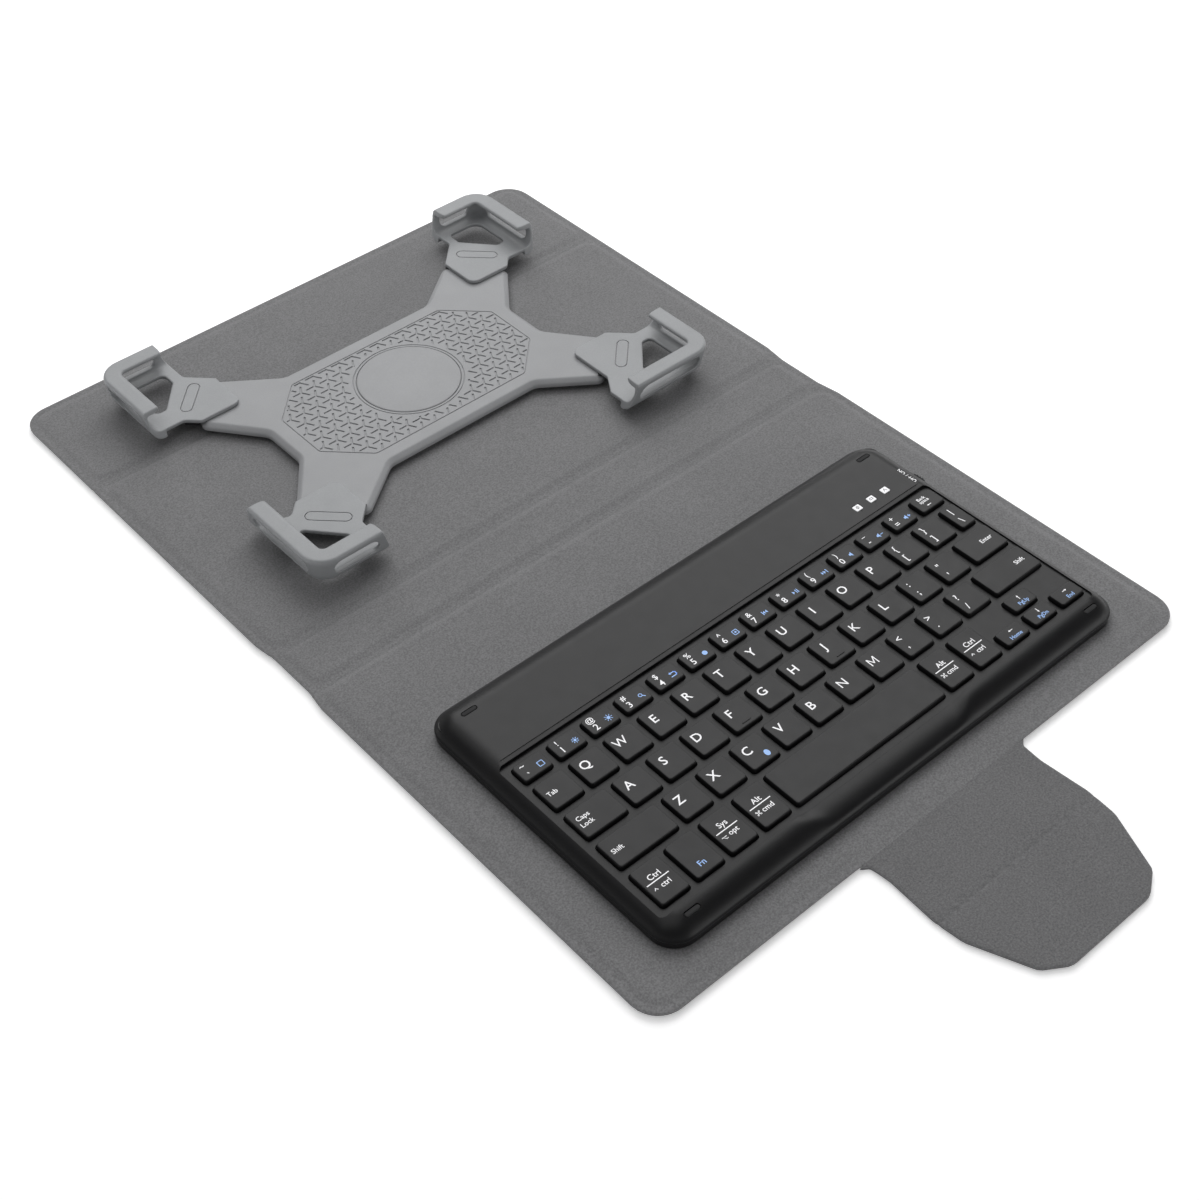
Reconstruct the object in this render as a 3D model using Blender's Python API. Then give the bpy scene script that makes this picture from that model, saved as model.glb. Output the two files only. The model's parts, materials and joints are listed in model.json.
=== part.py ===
"""Tablet keyboard case, lying open: folding cover, wireless keyboard, four-corner tablet holder.

Metres, +Z up, +X to the typist's right, +Y away from the typist; the cover rests on z = 0.
Every sub-part is one closed body; a part that moves has its origin on its joint's axis.
"""
import math

import bmesh
import bpy
from mathutils import Vector

MM = 0.001

# Cover: three layers, four panels in a row and a two-piece closing flap
HALF_WIDTH = 140.9
SPINE_HALF_WIDTH = 139.4
FRONT_EDGE = -97.9
CREASE_A = 97.0
CREASE_B = 123.4
CREASE_C = 255.0
REAR_EDGE = 318.0
COVER_CORNER = 12.0
SKIN_TOP = 0.7
BOARD_BOTTOM = 0.8
BOARD_TOP = 2.1
LINING_BOTTOM = 0.8
LINING_ROOF = 2.2
LINING_LOW = 2.55
LINING_TOP = 3.0
BOARD_INSET = 5.0
CREASE_HALF_GAP = 0.5
FOLD_AXIS_Z = 3.7

# Closing flap
FLAP_AXIS_Y = -98.9
FLAP_CREASE_Y = -131.9
FLAP_END_Y = -172.6
FLAP_HALF_WIDTH = 41.5
FLAP_THICKNESS = 2.0
FLAP_SKIN_TOP = 0.8

# Keyboard
KB_HALF_WIDTH = 120.0
KB_FRONT = -83.3
KB_REAR = 48.5
KB_CORNER = 11.0
KB_BOTTOM = 3.3
KB_SPLIT = 4.6
DECK_UNDER = 9.2
DECK_TOP = 10.4
BAND_TOP = 12.2
WELL_HALF_WIDTH = 115.6
WELL_FRONT = -73.3
WELL_REAR = 13.0
WELL_SLOPE = 3.0
BUMPER_PLACES = ((-105.2, 42.6), (107.2, 42.6), (-105.0, -77.0), (107.2, -77.0))
BUMPER_LENGTH = 6.8
BUMPER_WIDTH = 1.9
BUMPER_SEAT = 11.8
BUMPER_SHOULDER = 12.25
BUMPER_TOP = 12.45
WINDOW_CENTRES = (82.6, 90.7, 98.9)
WINDOW_Y = (21.25, 24.35)
WINDOW_HALF_WIDTH = 1.75
SWITCH_Y = (18.5, 24.1)
SWITCH_Z = (6.8, 8.2)
SOCKET_Y = (33.95, 41.65)
SOCKET_Z = (6.25, 8.35)
SCOOP_LEFT = -47.0
SCOOP_RIGHT = 33.0
SHEET_Z = (5.2, 6.4)

# Keys
KEYS_LEFT = -111.2
KEYS_RIGHT = 113.2
KEY_PITCH = 16.66
SLIM_PITCH = 16.28
KEY_WIDTH = 13.1
SLIM_WIDTH = 12.7
KEY_DEPTH = 13.2
SLIM_DEPTH = 8.4
KEY_TOP = 12.2
KEY_BASE = 8.9
FOOT_BOTTOM = 8.1
KEY_FLARE = 0.25
KEY_CLEARANCE = 0.35
KEY_RADIUS = 1.2
ROW_FRONTS = (2.5, -14.2, -31.2, -48.2, -69.3)
LETTERS_START = (KEYS_LEFT + KEY_PITCH, -89.05, -80.4)

# Tablet holder
HOLDER_Y = 218.0
BASE_BOTTOM = 3.3
BASE_TOP = 5.0
PLATE_BOTTOM = 5.3
PLATE_TOP = 9.0
CHANNEL_TOP = 8.3
DISC_RADIUS = 23.3

# Corner grips: u and v run outward from the middle of the holder along the two tablet edges
HOUSE_U = 65.0
HOUSE_V = 35.5
HOUSE_WIDTH_U = 22.5
HOUSE_WIDTH_V = 18.5
GRIP_BOTTOM = 7.4
GRIP_UNDER = 9.3
GRIP_TOP = 11.0
LIP_TOP = 21.2
GRIP_OUTER_U = 106.5
GRIP_OUTER_V = 82.5
GRIP_CORNER = 9.0
ARM_TIP_SUM = 120.2
TONGUE_HALF_WIDTH = 7.0
TONGUE_LENGTH = 25.0
CORNERS = (("rear_left", -1, 1), ("rear_right", 1, 1), ("front_left", -1, -1), ("front_right", 1, -1))
GRIP_ENDS = {
    "rear_left": (75.5, 41.0),
    "rear_right": (78.5, 43.0),
    "front_left": (72.5, 32.5),
    "front_right": (59.0, 45.0),
}


def srgb(value):
    """Linear colour from one grey or one red-green-blue triple given on the 0-255 display scale."""
    triple = value if isinstance(value, tuple) else (value, value, value)
    out = []
    for channel in triple:
        c = channel / 255.0
        out.append(c / 12.92 if c <= 0.04045 else ((c + 0.055) / 1.055) ** 2.4)
    return out


def make_material(name, colour, roughness, metallic=0.0):
    mat = bpy.data.materials.new(name)
    mat.use_nodes = True
    bsdf = mat.node_tree.nodes["Principled BSDF"]
    bsdf.inputs["Base Color"].default_value = srgb(colour) + [1.0]
    bsdf.inputs["Roughness"].default_value = roughness
    bsdf.inputs["Metallic"].default_value = metallic
    return mat


def clear_scene():
    for obj in list(bpy.data.objects):
        bpy.data.objects.remove(obj, do_unlink=True)


def signed_area(points):
    total = 0.0
    for i, (x0, y0) in enumerate(points):
        x1, y1 = points[(i + 1) % len(points)]
        total += x0 * y1 - x1 * y0
    return total / 2.0


def counter_clockwise(points):
    return list(points) if signed_area(points) > 0 else list(reversed(points))


def fillet(corners, steps=3):
    """Closed outline from (x, y, radius) corners, each corner rounded with an arc."""
    points = []
    count = len(corners)
    for i, (x, y, radius) in enumerate(corners):
        if radius <= 0:
            points.append((x, y))
            continue
        here = Vector((x, y))
        back = (Vector(corners[i - 1][:2]) - here)
        ahead = (Vector(corners[(i + 1) % count][:2]) - here)
        back.normalize()
        ahead.normalize()
        half = math.acos(max(-1.0, min(1.0, back.dot(ahead)))) / 2.0
        reach = radius / math.tan(half)
        start = here + back * reach
        end = here + ahead * reach
        centre = here + (back + ahead).normalized() * (radius / math.sin(half))
        a0 = math.atan2(start.y - centre.y, start.x - centre.x)
        a1 = math.atan2(end.y - centre.y, end.x - centre.x)
        turn = (a1 - a0 + math.pi) % (2.0 * math.pi) - math.pi
        for k in range(steps + 1):
            angle = a0 + turn * k / steps
            points.append((centre.x + radius * math.cos(angle), centre.y + radius * math.sin(angle)))
    return points


def box_outline(x0, x1, y0, y1, radius=0.0, steps=3):
    return fillet([(x0, y0, radius), (x1, y0, radius), (x1, y1, radius), (x0, y1, radius)], steps)


def inset(points, distance):
    """Move every side of a counter-clockwise outline inward by the same distance."""
    out = []
    count = len(points)
    for i in range(count):
        here = Vector(points[i])
        before = (here - Vector(points[i - 1])).normalized()
        after = (Vector(points[(i + 1) % count]) - here).normalized()
        n0 = Vector((-before.y, before.x))
        n1 = Vector((-after.y, after.x))
        middle = (n0 + n1).normalized()
        out.append(tuple(here + middle * (distance / max(0.35, middle.dot(n0)))))
    return out


def mesh_object(name, verts, faces, mat, origin=(0.0, 0.0, 0.0)):
    """Object from millimetre coordinates given in the world, with its origin where asked."""
    mesh = bpy.data.meshes.new(name)
    ox, oy, oz = origin
    mesh.from_pydata([((x - ox) * MM, (y - oy) * MM, (z - oz) * MM) for x, y, z in verts], [], faces)
    bm = bmesh.new()
    bm.from_mesh(mesh)
    bmesh.ops.recalc_face_normals(bm, faces=bm.faces)
    bm.to_mesh(mesh)
    bm.free()
    mesh.materials.append(mat)
    obj = bpy.data.objects.new(name, mesh)
    obj.location = (ox * MM, oy * MM, oz * MM)
    bpy.context.scene.collection.objects.link(obj)
    return obj


def loft(name, levels, mat, origin=(0.0, 0.0, 0.0)):
    """Closed body through outlines of equal length stacked at rising heights."""
    count = len(levels[0][0])
    verts = []
    for points, z in levels:
        verts.extend((x, y, z) for x, y in points)
    faces = [tuple(reversed(range(count)))]
    for level in range(len(levels) - 1):
        low = level * count
        for i in range(count):
            j = (i + 1) % count
            faces.append((low + i, low + j, low + count + j, low + count + i))
    top = (len(levels) - 1) * count
    faces.append(tuple(range(top, top + count)))
    return mesh_object(name, verts, faces, mat, origin)


def prism(name, points, z0, z1, mat, origin=(0.0, 0.0, 0.0)):
    return loft(name, [(counter_clockwise(points), z0), (counter_clockwise(points), z1)], mat, origin)


def box(name, x, y, z, mat, origin=(0.0, 0.0, 0.0)):
    return prism(name, box_outline(x[0], x[1], y[0], y[1]), z[0], z[1], mat, origin)


def merge(obj, others, operation):
    """Join or cut a body with helper bodies, keep the result and drop the helpers."""
    for other in others:
        mod = obj.modifiers.new("shape", 'BOOLEAN')
        mod.operation = operation
        mod.solver = 'EXACT'
        mod.object = other
    graph = bpy.context.evaluated_depsgraph_get()
    mesh = bpy.data.meshes.new_from_object(obj.evaluated_get(graph))
    obj.modifiers.clear()
    old = obj.data
    name = old.name
    obj.data = mesh
    bpy.data.meshes.remove(old)
    mesh.name = name
    for other in others:
        bpy.data.objects.remove(other, do_unlink=True)
    return obj


def cut(obj, cutters):
    return merge(obj, cutters, 'DIFFERENCE')


def join(obj, pieces):
    return merge(obj, pieces, 'UNION')


def tidy_mesh(obj):
    """Weld doubles left by cuts, drop slivers and split every face into triangles."""
    bm = bmesh.new()
    bm.from_mesh(obj.data)
    bmesh.ops.remove_doubles(bm, verts=bm.verts, dist=0.000002)
    bmesh.ops.dissolve_degenerate(bm, edges=bm.edges, dist=0.000002)
    bmesh.ops.triangulate(bm, faces=bm.faces)
    bmesh.ops.recalc_face_normals(bm, faces=bm.faces)
    bm.to_mesh(obj.data)
    bm.free()


# Cover -------------------------------------------------------------------------------------

def panel_outline(y0, y1, half_low, half_high, radius_low, radius_high):
    """Outline of one cover panel; the width may step in a little where it meets a crease."""
    corners = [(-half_low, y0, radius_low), (half_low, y0, radius_low)]
    if half_low > half_high:
        corners.append((half_low, y1 - 8.0, 0.0))
    corners.append((half_high, y1, radius_high))
    corners.append((-half_high, y1, radius_high))
    if half_low > half_high:
        corners.append((-half_low, y1 - 8.0, 0.0))
    return fillet(corners, 6)


def back_outline(y0, y1):
    """Main back panel: steps in to the spine at its near edge."""
    corners = [(-SPINE_HALF_WIDTH, y0, 0.0), (SPINE_HALF_WIDTH, y0, 0.0)]
    corners += [(HALF_WIDTH, y0 + 8.0, 0.0), (HALF_WIDTH, y1, 0.0)]
    corners += [(-HALF_WIDTH, y1, 0.0), (-HALF_WIDTH, y0 + 8.0, 0.0)]
    return fillet(corners, 6)


def board_outline(y0, y1, half_width, radius):
    return box_outline(-half_width + BOARD_INSET, half_width - BOARD_INSET, y0, y1, radius, 4)


def panel(name, outline, board, mats, origin):
    """One stiff panel: outer skin, board, and a lining that wraps down round the board."""
    outer = counter_clockwise(outline)
    inner = inset(outer, 0.4)
    prism(name + "_outer_skin", outer, 0.0, SKIN_TOP, mats["skin"], origin)
    shape = prism(name + "_board", board, BOARD_BOTTOM, BOARD_TOP, mats["board"], origin)
    levels = [(inner, LINING_BOTTOM), (inner, LINING_LOW - 0.25), (inset(inner, 0.5), LINING_LOW)]
    levels += [(inset(inner, 3.2), LINING_LOW + 0.02), (inset(inner, 4.6), LINING_TOP)]
    lining = loft(name + "_lining", levels, mats["lining"], origin)
    pocket = prism("pocket", inset(counter_clockwise(board), -0.15), 0.0, LINING_ROOF, mats["lining"])
    cut(lining, [pocket])
    return shape


def build_cover(mats):
    gap = CREASE_HALF_GAP
    front = panel_outline(FRONT_EDGE, CREASE_A - gap, HALF_WIDTH, SPINE_HALF_WIDTH, COVER_CORNER, 0.0)
    board = board_outline(FRONT_EDGE + 5.0, CREASE_A - 4.0, HALF_WIDTH, 8.0)
    panel("keyboard_panel", front, board, mats, (0.0, 0.0, 0.0))

    spine = box_outline(-SPINE_HALF_WIDTH, SPINE_HALF_WIDTH, CREASE_A + gap, CREASE_B - gap)
    board = board_outline(CREASE_A + 4.5, CREASE_B - 4.5, SPINE_HALF_WIDTH, 1.0)
    panel("spine", spine, board, mats, (0.0, CREASE_A, FOLD_AXIS_Z))

    back = back_outline(CREASE_B + gap, CREASE_C - gap)
    board = board_outline(CREASE_B + 4.0, CREASE_C - 4.5, HALF_WIDTH, 3.0)
    panel("back_panel", back, board, mats, (0.0, CREASE_B, FOLD_AXIS_Z))

    strip = fillet([(-HALF_WIDTH, CREASE_C + gap, 0.0), (HALF_WIDTH, CREASE_C + gap, 0.0),
                    (HALF_WIDTH, REAR_EDGE, COVER_CORNER), (-HALF_WIDTH, REAR_EDGE, COVER_CORNER)], 6)
    board = board_outline(CREASE_C + 4.5, REAR_EDGE - 5.0, HALF_WIDTH, 6.0)
    origin = (0.0, CREASE_C, 0.0)
    shape = panel("stand_strip", strip, board, mats, origin)
    y0, y1 = REAR_EDGE - 46.0, REAR_EDGE - 16.0
    cut(shape, [box("slot", (-26.0, 26.0), (y0, y1), (0.0, 4.0), mats["board"])])
    box("stand_strip_steel_plate", (-25.7, 25.7), (y0 + 0.3, y1 - 0.3), (BOARD_BOTTOM, BOARD_TOP),
        mats["steel"], origin)


def flap_neck_outline():
    """Neck of the closing flap: flares to a wider foot where it leaves the cover."""
    half, foot = FLAP_HALF_WIDTH, FLAP_HALF_WIDTH + 3.0
    y0, y1 = FLAP_CREASE_Y + 0.4, FLAP_AXIS_Y - 1.1
    right = [(half, y0, 0.0), (half + 0.3, y0 + 8.0, 0.0), (half - 0.9, y1 - 8.0, 4.0), (foot, y1, 0.0)]
    left = [(-x, y, r) for x, y, r in reversed(right)]
    return fillet(right + left, 4)


def flap_tip_outline():
    """Tip of the closing flap: straight shoulders, long chamfers and a rounded end."""
    half = FLAP_HALF_WIDTH
    y1, y0 = FLAP_CREASE_Y - 0.4, FLAP_END_Y
    right = [(21.0, y0, 9.0), (half - 11.0, y0 + 7.0, 3.0), (half, y1 - 5.0, 3.0), (half, y1, 0.0)]
    left = [(-x, y, r) for x, y, r in reversed(right)]
    return counter_clockwise(fillet(right + left, 4))


def build_flap(mats):
    neck = counter_clockwise(flap_neck_outline())
    origin = (0.0, FLAP_AXIS_Y, FLAP_THICKNESS / 2.0)
    prism("flap_neck_outer_skin", neck, 0.0, FLAP_SKIN_TOP, mats["skin"], origin)
    levels = [(inset(neck, 0.3), 0.9), (inset(neck, 0.3), 1.7), (inset(neck, 0.8), FLAP_THICKNESS)]
    loft("flap_neck_lining", levels, mats["lining"], origin)

    tip = flap_tip_outline()
    origin = (0.0, FLAP_CREASE_Y, FLAP_THICKNESS)
    prism("flap_tip_outer_skin", tip, 0.0, FLAP_SKIN_TOP, mats["skin"], origin)
    levels = [(inset(tip, 0.3), 0.9), (inset(tip, 0.3), 1.7), (inset(tip, 0.8), FLAP_THICKNESS)]
    lining = loft("flap_tip_lining", levels, mats["lining"], origin)
    cut(lining, [box("slot", (-20.0, 20.0), (-164.0, -142.0), (0.5, 1.55), mats["lining"])])
    box("flap_tip_magnet", (-19.8, 19.8), (-163.8, -142.2), (0.9, 1.45), mats["steel"], origin)


# Keyboard ----------------------------------------------------------------------------------

def run_of_keys(start, pitch, width, row, depth, count):
    return [(start + i * pitch, start + i * pitch + width, ROW_FRONTS[row], ROW_FRONTS[row] + depth)
            for i in range(count)]


def row_keys():
    """Caps of the four rows that are carried row by row, as (x0, x1, y0, y1)."""
    number = run_of_keys(KEYS_LEFT, SLIM_PITCH, SLIM_WIDTH, 0, SLIM_DEPTH, 14)
    top = run_of_keys(KEYS_LEFT, KEY_PITCH, KEY_WIDTH, 1, KEY_DEPTH, 13)
    y0 = ROW_FRONTS[1]
    top.append((KEYS_LEFT + 13 * KEY_PITCH, KEYS_RIGHT, y0, y0 + KEY_DEPTH))
    y0 = ROW_FRONTS[2]
    home = [(KEYS_LEFT, KEYS_LEFT + 18.7, y0, y0 + KEY_DEPTH)]
    home += run_of_keys(LETTERS_START[1], KEY_PITCH, KEY_WIDTH, 2, KEY_DEPTH, 11)
    low = run_of_keys(LETTERS_START[2], KEY_PITCH, KEY_WIDTH, 3, KEY_DEPTH, 10)
    return {"keys_number_row": number, "keys_top_letter_row": top,
            "keys_home_row": home, "keys_bottom_letter_row": low}


def single_keys():
    """Caps that are carried one by one, as (x0, x1, y0, y1)."""
    y2, y3, y4 = ROW_FRONTS[2], ROW_FRONTS[3], ROW_FRONTS[4]
    deep, slim = y4 + 17.3, 7.3
    step = SLIM_PITCH
    x = KEYS_LEFT
    keys = {
        "key_enter": (94.4, KEYS_RIGHT, y2, y2 + KEY_DEPTH),
        "key_shift_left": (x, x + 27.1, y3, y3 + KEY_DEPTH),
        "key_shift_right": (86.2, KEYS_RIGHT, y3, y3 + KEY_DEPTH),
        "key_ctrl_left": (x, x + SLIM_WIDTH, y4, deep),
        "key_fn": (x + step, x + step + SLIM_WIDTH, y4, deep),
        "key_option_left": (x + 2 * step, x + 2 * step + SLIM_WIDTH, y4, deep),
        "key_alt_left": (x + 3 * step, x + 3 * step + SLIM_WIDTH, y4, deep),
        "key_space": (-46.3, 31.8, y4, deep),
        "key_alt_right": (x + 9 * step, x + 9 * step + SLIM_WIDTH, y4, deep),
        "key_ctrl_right": (x + 10 * step, x + 10 * step + SLIM_WIDTH, y4, deep),
        "key_home": (x + 11 * step, x + 11 * step + SLIM_WIDTH, y4, y4 + slim),
        "key_page_up": (x + 12 * step, x + 12 * step + SLIM_WIDTH, deep - slim - 0.3, deep - 0.3),
        "key_page_down": (x + 12 * step, x + 12 * step + SLIM_WIDTH, y4, y4 + slim),
        "key_end": (x + 13 * step, x + 13 * step + SLIM_WIDTH, y4, y4 + slim),
    }
    return keys


def cap(name, rect, mat, origin, z0):
    x0, x1, y0, y1 = rect
    top = box_outline(x0, x1, y0, y1, KEY_RADIUS, 2)
    f = KEY_FLARE
    base = box_outline(x0 - f, x1 + f, y0 - f, y1 + f, KEY_RADIUS, 2)
    return loft(name, [(base, z0), (base, DECK_TOP - 0.1), (top, KEY_TOP)], mat, origin)


def build_keys(mats):
    for name, rect in single_keys().items():
        x0, x1, y0, y1 = rect
        origin = ((x0 + x1) / 2.0, (y0 + y1) / 2.0, KEY_TOP)
        body = cap(name, rect, mats["key"], origin, KEY_BASE)
        wide = 0.85
        foot = box("foot", (x0 - wide, x1 + wide), (y0 + 1.0, y1 - 1.0), (FOOT_BOTTOM, KEY_BASE), mats["key"])
        join(body, [foot])
    for name, rects in row_keys().items():
        x0, x1 = rects[0][0], rects[-1][1]
        y = (rects[0][2] + rects[0][3]) / 2.0
        origin = ((x0 + x1) / 2.0, y, KEY_TOP)
        bar = box(name, (x0 + 1.0, x1 - 1.0), (y - 2.5, y + 2.5), (FOOT_BOTTOM, KEY_BASE), mats["key"], origin)
        caps = [cap("cap", rect, mats["key"], (0.0, 0.0, 0.0), KEY_BASE - 0.4) for rect in rects]
        join(bar, caps)


def key_openings(mats):
    rects = list(single_keys().values())
    for row in row_keys().values():
        rects += row
    verts, faces = [], []
    for x0, x1, y0, y1 in rects:
        c = KEY_FLARE + KEY_CLEARANCE
        base = len(verts)
        for z in (DECK_UNDER - 1.0, DECK_TOP + 1.0):
            verts += [(x0 - c, y0 - c, z), (x1 + c, y0 - c, z), (x1 + c, y1 + c, z), (x0 - c, y1 + c, z)]
        b = base
        faces += [(b + 3, b + 2, b + 1, b), (b + 4, b + 5, b + 6, b + 7)]
        faces += [(b + i, b + (i + 1) % 4, b + 4 + (i + 1) % 4, b + 4 + i) for i in range(4)]
    return mesh_object("openings", verts, faces, mats["shell"])


def keyboard_outline():
    return box_outline(-KB_HALF_WIDTH, KB_HALF_WIDTH, KB_FRONT, KB_REAR, KB_CORNER, 6)


def build_top_shell(mats):
    """Upper shell: rear band, recessed deck with one opening per key, rolled front rim."""
    outer = keyboard_outline()
    levels = [(inset(outer, 1.0), KB_SPLIT), (outer, KB_SPLIT + 0.9), (inset(outer, 0.3), 9.6)]
    levels += [(inset(outer, 1.3), 11.3), (inset(outer, 2.6), BAND_TOP - 0.25), (inset(outer, 4.2), BAND_TOP)]
    shell = loft("keyboard_top_shell", levels, mats["shell"])
    hollow = prism("hollow", inset(outer, 2.4), 0.0, DECK_UNDER, mats["shell"])
    w = WELL_HALF_WIDTH
    floor = box_outline(-w, w, WELL_FRONT, WELL_REAR, 2.5, 3)
    mouth = box_outline(-w - 0.3, w + 0.3, WELL_FRONT - 0.4, WELL_REAR + WELL_SLOPE, 2.5, 3)
    well = loft("well", [(floor, DECK_TOP), (mouth, BAND_TOP), (mouth, BAND_TOP + 2.0)], mats["shell"])
    cut(shell, [hollow, well])
    cut(shell, [front_scoop(mats)])
    cut(shell, [key_openings(mats)])
    cutters = [window_block(x, 0.2, (8.0, 14.0), mats["shell"]) for x in WINDOW_CENTRES]
    side = (KB_HALF_WIDTH - 4.0, KB_HALF_WIDTH + 2.0)
    travel = (SWITCH_Y[0] - 0.9, SWITCH_Y[1] + 3.9)
    cutters.append(box("slot", side, travel, grown(SWITCH_Z, 0.4), mats["shell"]))
    cutters.append(box("port", side, grown(SOCKET_Y, 0.35), grown(SOCKET_Z, 0.35), mats["shell"]))
    cut(shell, cutters)
    cut(shell, [prism("seat", stadium(x, y, BUMPER_LENGTH + 0.4, BUMPER_WIDTH + 0.4), BUMPER_SEAT - 0.2,
                      BAND_TOP + 1.0, mats["shell"]) for x, y in BUMPER_PLACES])
    tidy_mesh(shell)


def front_scoop(mats):
    """Cutter for the finger scoop in the front rim; it narrows toward the typist."""
    back, front, lean, draw = WELL_FRONT + 1.0, KB_FRONT - 6.7, 3.0, 7.0
    x0, x1 = SCOOP_LEFT, SCOOP_RIGHT
    low = [(x0 + draw, front), (x1 - draw, front), (x1, back), (x0, back)]
    top = [(x0 + draw - lean, front), (x1 - draw + lean, front), (x1 + lean, back), (x0 - lean, back)]
    return loft("scoop", [(low, DECK_TOP), (top, BAND_TOP + 1.0)], mats["shell"])


def grown(span, by):
    return (span[0] - by, span[1] + by)


def window_block(x, extra, heights, mat):
    half = WINDOW_HALF_WIDTH + extra
    return box("window", (x - half, x + half), grown(WINDOW_Y, extra), heights, mat)


def stadium(x, y, length, width):
    r = width / 2.0
    return box_outline(x - length / 2.0, x + length / 2.0, y - r, y + r, r * 0.999, 4)


def build_keyboard(mats):
    outer = keyboard_outline()
    levels = [(inset(outer, 4.0), KB_BOTTOM), (inset(outer, 1.6), KB_SPLIT - 0.2)]
    loft("keyboard_bottom_shell", levels, mats["shell"])
    build_top_shell(mats)
    names = ("rear_left", "rear_right", "front_left", "front_right")
    for name, (x, y) in zip(names, BUMPER_PLACES):
        low = stadium(x, y, BUMPER_LENGTH, BUMPER_WIDTH)
        high = stadium(x, y, BUMPER_LENGTH - 0.6, BUMPER_WIDTH - 0.5)
        levels = [(low, BUMPER_SEAT), (low, BUMPER_SHOULDER), (high, BUMPER_TOP)]
        loft("bumper_" + name, levels, mats["rubber"])
    sheet = box_outline(KEYS_LEFT - 2.4, KEYS_RIGHT + 2.4, ROW_FRONTS[4] - 2.2, ROW_FRONTS[0] + 9.7, 2.0, 3)
    prism("key_dome_sheet", sheet, SHEET_Z[0], SHEET_Z[1], mats["sheet"])
    box("battery", (-66.0, -4.0), (17.5, 43.5), (4.8, 8.6), mats["battery"])
    box("control_board", (40.0, 112.0), (17.5, 44.0), (4.9, 5.9), mats["circuit"])
    bar = (WINDOW_CENTRES[0] - 2.6, WINDOW_CENTRES[2] + 2.6)
    windows = box("indicator_windows", bar, grown(WINDOW_Y, 1.2), (8.2, 9.0), mats["window"])
    join(windows, [window_block(x, 0.0, (8.6, BAND_TOP + 0.05), mats["window"]) for x in WINDOW_CENTRES])
    edge = KB_HALF_WIDTH
    origin = (edge, sum(SWITCH_Y) / 2.0, sum(SWITCH_Z) / 2.0)
    slider = box("power_switch", (edge - 7.0, edge - 3.1), grown(SWITCH_Y, 0.6), grown(SWITCH_Z, 0.6),
                 mats["shell"], origin)
    join(slider, [box("knob", (edge - 3.5, edge + 0.9), SWITCH_Y, SWITCH_Z, mats["shell"])])
    socket = box("charge_socket", (edge - 7.1, edge - 0.8), SOCKET_Y, SOCKET_Z, mats["steel"])
    cut(socket, [box("mouth", (edge - 5.5, edge + 1.0), grown(SOCKET_Y, -0.55), grown(SOCKET_Z, -0.45),
                     mats["steel"])])


# Tablet holder -------------------------------------------------------------------------------

def holder_quarter():
    """Outline corners of one quarter of the holder plate, from the waist to the long side."""
    return [(67.6, 11.5, 7.0), (85.2, 35.0, 4.0), (63.4, 56.8, 4.0), (40.0, 39.8, 7.0)]


def holder_outline(extra=0.0):
    quarter = holder_quarter()
    corners = []
    corners += [(x, y, r) for x, y, r in quarter]
    corners += [(-x, y, r) for x, y, r in reversed(quarter)]
    corners += [(-x, -y, r) for x, y, r in quarter]
    corners += [(x, -y, r) for x, y, r in reversed(quarter)]
    if extra:
        sharp = inset([(x, y) for x, y, _ in corners], extra)
        corners = [(x, y, 2.0) for x, y in sharp]
    return [(x, y + HOLDER_Y) for x, y in fillet(corners, 3)]


def quadrant(points, sx, sy):
    """Holder coordinates (u, v) to world (x, y) for one corner."""
    return counter_clockwise([(sx * u, HOLDER_Y + sy * v) for u, v in points])


def diagonal_strip(half_width, near, far):
    """Outline in (u, v) of a strip along the 45 degree slide line through the arm's middle."""
    mid_u = (ARM_TIP_SUM + 28.4) / 2.0
    mid_v = (ARM_TIP_SUM - 28.4) / 2.0
    k = math.sqrt(0.5)
    corners = [(near, -half_width), (far, -half_width), (far, half_width), (near, half_width)]
    return [(mid_u + (a - b) * k, mid_v + (a + b) * k) for a, b in corners]


def build_holder(mats):
    origin = (0.0, CREASE_B, FOLD_AXIS_Z)
    prism("holder_base", holder_outline(3.0), BASE_BOTTOM, BASE_TOP, mats["holder"], origin)
    outer = holder_outline()
    levels = [(inset(outer, 0.3), PLATE_BOTTOM), (outer, PLATE_BOTTOM + 0.4), (outer, PLATE_BOTTOM + 1.6)]
    levels += [(inset(outer, 2.2), PLATE_TOP - 0.2), (inset(outer, 2.8), PLATE_TOP)]
    plate = loft("holder_plate", levels, mats["holder"], origin)
    cutters = []
    for _, sx, sy in CORNERS:
        rail = quadrant(diagonal_strip(TONGUE_HALF_WIDTH + 0.3, -27.0, 6.0), sx, sy)
        nest = quadrant(diagonal_strip(2.3, -50.0, -26.0), sx, sy)
        cutters.append(prism("rail", rail, 0.0, CHANNEL_TOP, mats["holder"]))
        cutters.append(prism("nest", nest, 0.0, CHANNEL_TOP, mats["holder"]))
    cut(plate, cutters)
    ring = [(DISC_RADIUS * math.cos(a), HOLDER_Y + DISC_RADIUS * math.sin(a)) for a in circle(40)]
    seat = [(x * 1.015, HOLDER_Y + (y - HOLDER_Y) * 1.015) for x, y in ring]
    cut(plate, [prism("seat", seat, PLATE_TOP - 0.6, PLATE_TOP + 2.0, mats["holder"])])
    tidy_mesh(plate)
    levels = [(ring, PLATE_TOP - 0.4), (ring, PLATE_TOP + 0.1), (inset(ring, 0.3), PLATE_TOP + 0.3)]
    loft("holder_disc", levels, mats["holder"], origin)
    for name, sx, sy in CORNERS:
        build_spring("spring_" + name, sx, sy, mats["spring"], origin)


def circle(count):
    return [2.0 * math.pi * i / count for i in range(count)]


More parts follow.
